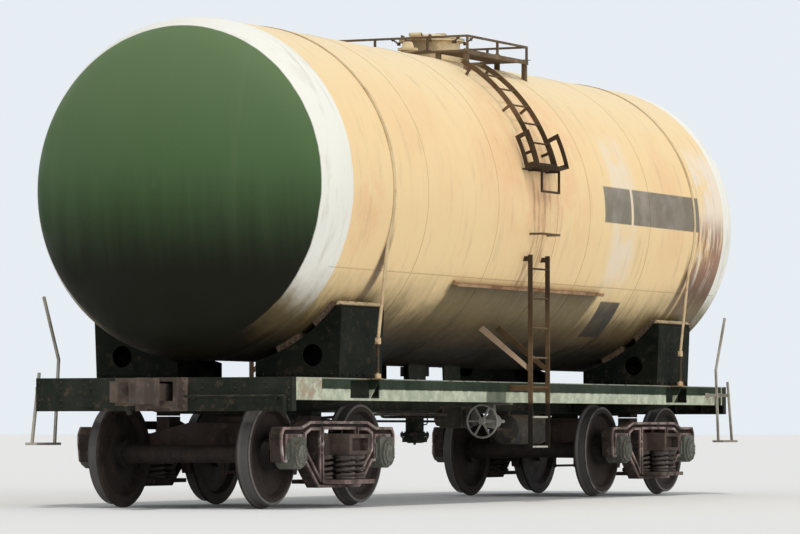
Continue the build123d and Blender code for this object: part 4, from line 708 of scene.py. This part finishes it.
def bar(bm, centre, radius, length, axis="Z", sides=20, tip=None, rim=0.0, turn=None):
    """A round bar, or with a tip's radius a cone."""
    place = Matrix.Translation(centre) @ (turn or TURNS[axis])
    made = bmesh.ops.create_cone(bm, cap_ends=True, segments=sides, radius1=radius,
                                 radius2=radius if tip is None else tip, depth=length, matrix=place)
    if rim:
        soften(bm, made["verts"], rim)


def nut(bm, centre, radius, height, axis="Z", rim=0.002, turn=None):
    bar(bm, centre, radius, height, axis, 6, rim=rim, turn=turn)


def block(bm, centre, size, rim, turn=None):
    place = Matrix.Translation(centre) @ (turn or Matrix.Identity(4)) @ Matrix.Diagonal((*size, 1.0))
    made = bmesh.ops.create_cube(bm, size=1.0, matrix=place)
    soften(bm, made["verts"], rim)


def ring(bm, centre, radius, wire, steps, axis="Z", sides=6, rounds=1.0, rise=0.0):
    """A ring of round wire, or with a rise a coil."""
    turn = TURNS[axis]
    place = Matrix.Translation(centre) @ turn @ Matrix.Translation((radius, 0, 0))
    place = place @ Matrix.Rotation(math.pi / 2, 4, "X")
    made = bmesh.ops.create_circle(bm, segments=sides, radius=wire, matrix=place)
    profile = made["verts"] + edges_of(made["verts"])
    upward = turn.to_3x3() @ Vector((0, 0, 1))
    whole = rise == 0.0
    bmesh.ops.spin(bm, geom=profile, cent=centre, axis=upward, dvec=upward * rise / steps,
                   angle=math.tau * rounds, steps=steps, use_merge=whole)


def pipe(bm, points, radius, bend, sides=12):
    """A round pipe along straight runs, bent at each corner."""
    points = [Vector(point) for point in points]
    heading = (points[1] - points[0]).normalized()
    place = Matrix.Translation(points[0]) @ aimed(heading)
    made = bmesh.ops.create_circle(bm, segments=sides, radius=radius, matrix=place)
    mouth = edges_of(made["verts"])
    last = points[0]
    for here, after in zip(points[1:], points[2:] + [None]):
        if after is None:
            stop = here
        else:
            onward = (after - here).normalized()
            angle = heading.angle(onward)
            stop = here - heading * bend * math.tan(angle / 2)
        grown = bmesh.ops.extrude_edge_only(bm, edges=mouth)["geom"]
        moved = [item for item in grown if isinstance(item, bmesh.types.BMVert)]
        bmesh.ops.translate(bm, verts=moved, vec=stop - last)
        mouth = [edge for edge in edges_of(moved) if set(edge.verts) <= set(moved)]
        if after is not None:
            inward = (onward - heading * heading.dot(onward)).normalized()
            turned = bmesh.ops.spin(bm, geom=moved + mouth, cent=stop + inward * bend,
                                    axis=heading.cross(onward), angle=angle, steps=6)["geom_last"]
            mouth = [item for item in turned if isinstance(item, bmesh.types.BMEdge)]
            last = here + onward * bend * math.tan(angle / 2)
            heading = onward


def eight_round(radius):
    """Eight places round a circle, with none of them on an axis."""
    for number in range(8):
        angle = math.radians(22.5 + 45 * number)
        yield radius * math.cos(angle), radius * math.sin(angle)


def piece(name, bm, material, body, slot, *replaced):
    bmesh.ops.remove_doubles(bm, verts=bm.verts, dist=0.00002)
    bmesh.ops.holes_fill(bm, edges=[edge for edge in bm.edges if edge.is_boundary], sides=0)
    bmesh.ops.recalc_face_normals(bm, faces=bm.faces)
    mesh = bpy.data.meshes.new(name)
    bm.to_mesh(mesh)
    bm.free()
    mesh.polygons.foreach_set("use_smooth", [True] * len(mesh.polygons))
    mesh.set_sharp_from_angle(angle=math.radians(38))
    mesh.materials.append(material)
    made = bpy.data.objects.new(name, mesh)
    scene.collection.objects.link(made)
    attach(made, body)
    if replaced:
        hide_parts(*replaced)


def coil_springs(finishes):
    """Seven coils to a nest, with flat ends, and a thinner coil inside the two that show."""
    coil_r = 0.082
    wire = 0.0145
    inner_r = 0.047
    inner_wire = 0.009
    low = SPRING_LOW + wire
    high = SPRING_HIGH - wire
    lift = high - low
    places = [(u, 0.0) for u in (-0.213, 0.0, 0.213)]
    places += [(u, v) for u in (-0.1065, 0.1065) for v in (-0.175, 0.175)]
    for tag, x in BOGIE_X.items():
        bm = bmesh.new()
        for side in (-1, 1):
            for u, v in places:
                shows = v > 0
                steps, sides = (18, 8) if shows else (12, 6)
                centre = (x + u, side * (JOURNAL_Y + v))
                for z in (low, high):
                    ring(bm, (*centre, z), coil_r, wire, steps, sides=sides)
                ring(bm, (*centre, low), coil_r, wire, steps * 4, sides=sides, rounds=4.0, rise=lift)
                if shows:
                    foot = (*centre, low - 0.005)
                    ring(bm, foot, inner_r, inner_wire, 84, rounds=-7.0, rise=lift + 0.01)
        piece(f"coil_springs_{tag}", bm, finishes["spring"], f"bogie_{tag}", "spring_steel", f"springs_{tag}")


def box_covers(finishes):
    """Bolts and a filler plug on every axlebox cap, and rivets in the side frames' columns."""
    cap_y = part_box("axleboxes_a")[1].y
    column_x = 0.366
    column_face = JOURNAL_Y + 0.066
    for tag, x in BOGIE_X.items():
        covers = bmesh.new()
        rivets = bmesh.new()
        for side in (-1, 1):
            for turn in (-1, 1):
                axle_x = x + turn * HALF_WHEELBASE
                for u, v in eight_round(0.103):
                    nut(covers, (axle_x + u, side * (cap_y - 0.008), AXLE_Z + v), 0.0115, 0.012, "Y", 0.0015)
                    bar(covers, (axle_x + u, side * (cap_y - 0.012), AXLE_Z + v), 0.015, 0.003, "Y", 12)
                bar(covers, (axle_x, side * (cap_y + 0.001), AXLE_Z), 0.030, 0.004, "Y", 24, rim=0.001)
                for u in (-0.045, 0.045):
                    nut(covers, (axle_x + u, side * (cap_y + 0.002), AXLE_Z - 0.03), 0.008, 0.008, "Y", 0.0)
                for z in (0.52, 0.60, 0.68):
                    place = (x + turn * column_x, side * column_face, z)
                    bar(rivets, place, 0.015, 0.010, "Y", 12, tip=0.009)
        piece(f"box_covers_{tag}", covers, finishes["box"], f"bogie_{tag}", "box_steel")
        piece(f"column_rivets_{tag}", rivets, finishes["casting"], f"bogie_{tag}", "bogie_steel")


def swing_bolts(finishes):
    """Eight swing bolts let down round the neck, and the ends of the lid's pin."""
    eye_r = 0.352
    eye_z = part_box("manhole_lid")[0].z - 0.030
    let_down = math.radians(52)
    pin_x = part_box("manhole_neck")[0].x + 0.022
    pin_z = 4.844
    bm = bmesh.new()
    for u, v in eight_round(1.0):
        out = Vector((u, v, 0.0))
        along = Vector((-v, u, 0.0))
        eye = Vector((HATCH_X, 0, eye_z)) + out * eye_r
        lean = (out * math.sin(let_down) + Vector((0, 0, 1)) * math.cos(let_down)).normalized()
        facing = out.to_track_quat("X", "Z").to_matrix().to_4x4()
        for off in (-0.013, 0.013):
            block(bm, eye - out * 0.004 + along * off, (0.036, 0.007, 0.034), 0.002, facing)
        bar(bm, eye, 0.006, 0.036, sides=10, turn=aimed(along))
        bar(bm, eye + lean * 0.050, 0.0085, 0.100, sides=12, turn=aimed(lean))
        nut(bm, eye + lean * 0.078, 0.018, 0.016, turn=aimed(lean))
        bar(bm, eye + lean * 0.067, 0.021, 0.004, turn=aimed(lean))
    for side in (-1, 1):
        nut(bm, (pin_x, side * 0.070, pin_z), 0.017, 0.006, "Y", 0.001)
    piece("swing_bolts", bm, finishes["deck"], "wagon", "ladder_steel")


def lid_handle(finishes):
    """The lid's handle, and a thin bead round its crown."""
    bm = bmesh.new()
    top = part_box("manhole_lid")[1].z
    x = HATCH_X + 0.20
    half = 0.075
    foot = top - 0.045
    grip = top + 0.018
    pipe(bm, [(x, -half, foot), (x, -half, grip), (x, half, grip), (x, half, foot)], 0.008, 0.022)
    bead_z = 4.8315
    ring(bm, (HATCH_X, 0, bead_z), 0.282, 0.0025, 48)
    piece("lid_handle", bm, finishes["cream"], "lid", "tank_paint")


def outlet_fittings(finishes):
    """Flange bolts, the cap's yoke and its chain of links at the bottom outlet."""
    bm = bmesh.new()
    flange_faces = (0.7065, 0.6535)
    for u, v in eight_round(0.131):
        for z in flange_faces:
            nut(bm, (u, v, z), 0.011, 0.013, rim=0.0015)
    for side in (-1, 1):
        block(bm, (side * 0.135, 0, 0.640), (0.022, 0.030, 0.070), 0.003)
    block(bm, (0, 0, 0.5985), (0.292, 0.034, 0.012), 0.003)
    nut(bm, (0, 0, 0.590), 0.016, 0.030)
    links = 9
    sag = 0.048
    for number in range(links):
        drop = sag * math.sin(math.pi * number / (links - 1))
        place = (0.160 + 0.004 * number, 0.02 * number - 0.08, 0.655 - drop)
        ring(bm, place, 0.0125, 0.0028, 12, "X" if number % 2 else "Y")
    piece("outlet_fittings", bm, finishes["frame"], "wagon", "frame_paint")


def brake_pipes(finishes):
    """Branch pipes from the train pipe to the distributor, the reservoir and the cylinder."""
    # Each branch: its route and the radius of its bends
    branches = (
        ([(-0.18, 0.31, 0.945), (-0.18, 0.31, 0.862), (-0.18, -0.345, 0.862)], 0.05),
        ([(-0.075, -0.60, 0.83), (0.10, -0.60, 0.83), (0.10, -0.88, 0.735), (0.30, -0.88, 0.735)], 0.07),
        ([(-0.285, -0.50, 0.885), (-1.95, -0.50, 0.885), (-1.95, 0.62, 0.82), (-1.73, 0.62, 0.82)], 0.09),
    )
    # Each union: its place and the axis of the pipe there
    unions = (
        ((-0.18, 0.31, 0.93), "Z"),
        ((-0.18, -0.335, 0.862), "Y"),
        ((-0.085, -0.60, 0.83), "X"),
        ((0.292, -0.88, 0.735), "X"),
        ((-0.30, -0.50, 0.885), "X"),
        ((-1.742, 0.62, 0.82), "X"),
    )
    bm = bmesh.new()
    for route, bend in branches:
        pipe(bm, route, 0.0135, bend)
    for place, axis in unions:
        nut(bm, place, 0.024, 0.034, axis)
    for x in (-0.75, -1.35):
        block(bm, (x, -0.38, 0.900), (0.030, 0.26, 0.008), 0.001)
        ring(bm, (x, -0.50, 0.885), 0.0165, 0.004, 16, "X")
    piece("brake_pipes", bm, finishes["brake"], "wagon", "brake_paint")


def brake_rods(finishes):
    """The two long pull rods from the cylinder's lever, with forked ends and hanging guards."""
    short_y = 0.265
    long_y = 0.455
    rod_z = 0.820
    guard_low = 0.785
    guard_half = 0.055
    bm = bmesh.new()
    for y, x0, x1 in ((short_y, -3.28, -1.20), (long_y, -1.20, 3.28)):
        bar(bm, ((x0 + x1) / 2, y, rod_z), 0.0125, x1 - x0, "X", 12)
        for x, inward in ((x0, 0.05), (x1, -0.05)):
            for off in (-0.017, 0.017):
                block(bm, (x + inward, y, rod_z + off), (0.13, 0.044, 0.010), 0.003)
            bar(bm, (x, y, rod_z), 0.015, 0.062, "Z", 12, rim=0.002)
    # Each guard: its rod, its place along the car and the height of its upper ends
    guards = ((short_y, -2.30, 0.905), (long_y, 1.15, 0.918), (long_y, 2.45, 0.918), (long_y, -0.55, 0.918))
    for y, x, top in guards:
        left = y - guard_half
        right = y + guard_half
        route = [(x, left, top), (x, left, guard_low), (x, right, guard_low), (x, right, top)]
        pipe(bm, route, 0.007, 0.025, 8)
        block(bm, (x, 0.36, 0.911), (0.05, 0.30, 0.008), 0.001)
    piece("brake_rods", bm, finishes["brake"], "wagon", "brake_paint")


def striker_rivets(finishes):
    """Four rivets up each side of the striker plates."""
    bm = bmesh.new()
    for end in (-1, 1):
        outward = Matrix.Rotation(end * math.pi / 2, 4, "Y")
        for side in (-1, 1):
            for z in (0.945, 1.02, 1.10, 1.175):
                place = (end * (STRIKER_FACE + 0.004), side * 0.238, z)
                bar(bm, place, 0.016, 0.012, sides=12, tip=0.010, turn=outward)
    piece("striker_rivets", bm, finishes["cast"], "wagon", "cast_steel")


def ladder_bolts(finishes):
    """Bolts at the ladders' brackets on the sill and on the tank."""
    bm = bmesh.new()
    for side in (-1, 1):
        for x in (-0.626, -0.174):
            for z in (1.138, 1.172):
                nut(bm, (x, side * 1.375, z), 0.010, 0.012, "X", 0.001)
        for z in (2.444, 2.476):
            for x in (-0.628, -0.172):
                nut(bm, (x, side * 1.560, z), 0.010, 0.012, "X", 0.001)
    piece("ladder_bolts", bm, finishes["ladder"], "wagon", "ladder_steel")


def weld_beads(finishes):
    """The tank's ring seams, its two long seams and the seams of the dished ends."""
    bead_r = 0.005
    skin = TANK_R - 0.001
    bm = bmesh.new()
    for x in (*SEAM_X, -TANK_HALF, TANK_HALF):
        ring(bm, (x, 0, TANK_Z), skin, bead_r, 160, "X")
    lap = math.radians(SEAM_ANGLE)
    for side in (-1, 1):
        place = (0, side * skin * math.cos(lap), TANK_Z + skin * math.sin(lap))
        bar(bm, place, bead_r, 2 * TANK_HALF - 0.06, "X", 8)
    piece("weld_beads", bm, finishes["cream"], "wagon", "tank_paint")


def saddle_bolts(finishes):
    """Bolted angles at the feet of the saddles, and bolts down into the timbers."""
    leg_z = SILL_TOP + 0.036
    angle_y = 0.86
    angle_length = 0.84
    bm = bmesh.new()
    for x0 in BOGIE_X.values():
        for side in (-1, 1):
            for end in (-1, 1):
                x = x0 + end * SADDLE_HALF
                block(bm, (x + end * 0.0045, side * angle_y, leg_z), (0.009, angle_length, 0.070), 0.002)
                foot = (x + end * 0.033, side * angle_y, SILL_TOP + 0.0055)
                block(bm, foot, (0.060, angle_length, 0.009), 0.002)
                for number in range(6):
                    nut(bm, (x + end * 0.013, side * (0.50 + 0.144 * number), leg_z), 0.016, 0.012, "X")
            for number in range(6):
                nut(bm, (x0 - 0.375 + 0.15 * number, side * 1.3045, leg_z), 0.016, 0.014, "Y")
            outward = Vector((0, side * math.cos(CRADLE_TOP), math.sin(CRADLE_TOP)))
            upward = Vector((0, -side * math.sin(CRADLE_TOP), math.cos(CRADLE_TOP)))
            for off in (-0.36, -0.12, 0.12, 0.36):
                place = Vector((x0 + off, 0, TANK_Z)) + outward * (CRADLE_R + 0.030) + upward * 0.011
                nut(bm, place, 0.014, 0.011, turn=aimed(upward))
    piece("saddle_bolts", bm, finishes["saddle"], "wagon", "frame_paint")


def beam_rivets(finishes):
    """Rivets across the end beams, in four rows."""
    bm = bmesh.new()
    for end in (-1, 1):
        outward = Matrix.Rotation(end * math.pi / 2, 4, "Y")
        for y in (0.42, 0.76, 1.08, 1.315):
            for side in (-1, 1):
                for z in (0.948, 1.000, 1.112, 1.168):
                    place = (end * (FRAME_END + 0.004), side * y, z)
                    bar(bm, place, 0.0135, 0.010, sides=12, tip=0.008, turn=outward)
    piece("beam_rivets", bm, finishes["frame"], "wagon", "frame_paint")


def buckle_bolts(finishes):
    """Bolts through the strap buckles, with the rods' nuts and washers."""
    bm = bmesh.new()
    for x in (-STRAP_X, STRAP_X):
        for side in (-1, 1):
            y = side * STRAP_Y
            for off in (-0.035, 0.035):
                nut(bm, (x + off, y, SILL_TOP + 0.355), 0.016, 0.012, "X")
            nut(bm, (x, y, SILL_TOP + 0.316), 0.023, 0.015)
            bar(bm, (x, y, SILL_TOP + 0.003), 0.038, 0.005, "Z", 24)
    piece("buckle_bolts", bm, finishes["strap"], "wagon", "tank_paint")


def step_bolts(finishes):
    """Bolted plates on the sill where the corner steps' arms meet it."""
    arm_z = 1.117
    bm = bmesh.new()
    for end in (-1, 1):
        for inset in (0.595, 0.225):
            x = end * (FRAME_END - inset)
            block(bm, (x, -end * (SILL_FACE + 0.0045), arm_z), (0.100, 0.008, 0.052), 0.002)
            for off in (-0.034, 0.034):
                nut(bm, (x + off, -end * (SILL_FACE + 0.013), arm_z), 0.011, 0.010, "Y", 0.0015)
    piece("step_bolts", bm, finishes["post"], "wagon", "frame_paint")


def rail_feet(finishes):
    """Bolted foot plates under the posts of the platform's rails."""
    bm = bmesh.new()
    low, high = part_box("platform_rails")
    half = 0.011
    foot = low.z + 0.0035
    for x in (low.x + half, high.x - half):
        for y in (low.y + half, -0.30, 0.30, high.y - half):
            block(bm, (x, y, foot), (0.028, 0.086, 0.006), 0.001)
            for off in (-0.030, 0.030):
                if abs(y + off) < high.y:
                    nut(bm, (x, y + off, foot + 0.007), 0.008, 0.008, "Z", 0.001)
    for y in (low.y + half, high.y - half):
        block(bm, (HATCH_X, y, foot), (0.086, 0.028, 0.006), 0.001)
        for off in (-0.030, 0.030):
            nut(bm, (HATCH_X + off, y, foot + 0.007), 0.008, 0.008, "Z", 0.001)
    piece("rail_feet", bm, finishes["deck"], "wagon", "ladder_steel")


# Camera and light
EYE = Vector((-39.57, -18.94, 0.75))
AIM = Vector((-0.35, 0.0, 2.41))
LENS = 190.0
SUN_FROM = Vector((-0.28, -0.155, 0.94))
SIDE_FROM = Vector((-0.18, -0.96, 0.20))

camera_data = bpy.data.cameras.new("camera")
camera = bpy.data.objects.new("camera", camera_data)
scene.collection.objects.link(camera)
camera.location = EYE
camera.rotation_euler = (AIM - EYE).to_track_quat("-Z", "Y").to_euler()
camera_data.lens = LENS
camera_data.sensor_width = 36.0
camera_data.clip_end = 1000.0
scene.camera = camera
scene.view_settings.view_transform = "Standard"


def lamp(name, comes_from, spread, colour):
    data = bpy.data.lights.new(name, "SUN")
    data.energy = 1.2
    data.angle = math.radians(spread)
    data.color = colour
    made = bpy.data.objects.new(name, data)
    scene.collection.objects.link(made)
    made.rotation_euler = comes_from.to_track_quat("Z", "Y").to_euler()


lamp("sun", SUN_FROM, 5, (1.0, 0.97, 0.91))
lamp("side_light", SIDE_FROM, 70, (1.0, 0.97, 0.92))

world = bpy.data.worlds.new("world")
scene.world = world
world.use_nodes = True
sky = world.node_tree.nodes["Background"]
sky.inputs["Color"].default_value = (0.93, 0.96, 1.0, 1.0)
sky.inputs["Strength"].default_value = 0.55


def pale_surround():
    """What the camera and the reflections see behind the car, with no more light on it."""
    tree = world.node_tree
    rays = tree.nodes.new("ShaderNodeLightPath")
    seen = rays.outputs["Is Camera Ray"]
    for name in ("Is Glossy Ray", "Is Transmission Ray"):
        both = tree.nodes.new("ShaderNodeMath")
        both.operation = "MAXIMUM"
        tree.links.new(seen, both.inputs[0])
        tree.links.new(rays.outputs[name], both.inputs[1])
        seen = both.outputs[0]
    pale = tree.nodes.new("ShaderNodeBackground")
    pale.inputs["Color"].default_value = (0.80, 0.85, 0.90, 1.0)
    pale.inputs["Strength"].default_value = 1.0
    blend = tree.nodes.new("ShaderNodeMixShader")
    tree.links.new(seen, blend.inputs[0])
    tree.links.new(sky.outputs[0], blend.inputs[1])
    tree.links.new(pale.outputs[0], blend.inputs[2])
    tree.links.new(blend.outputs[0], tree.nodes["World Output"].inputs["Surface"])


def make_floor():
    bm = bmesh.new()
    bmesh.ops.create_grid(bm, x_segments=1, y_segments=1, size=400.0)
    mesh = bpy.data.meshes.new("floor")
    bm.to_mesh(mesh)
    bm.free()
    floor = bpy.data.objects.new("floor", mesh)
    scene.collection.objects.link(floor)
    paint = Paint("floor_white", 0.9)
    paint.colour((0.80, 0.80, 0.79))
    mesh.materials.append(paint.material)


pale_surround()
make_floor()
finishes = apply_finishes()
coil_springs(finishes)
box_covers(finishes)
swing_bolts(finishes)
lid_handle(finishes)
outlet_fittings(finishes)
brake_pipes(finishes)
brake_rods(finishes)
striker_rivets(finishes)
ladder_bolts(finishes)
weld_beads(finishes)
saddle_bolts(finishes)
beam_rivets(finishes)
buckle_bolts(finishes)
step_bolts(finishes)
rail_feet(finishes)
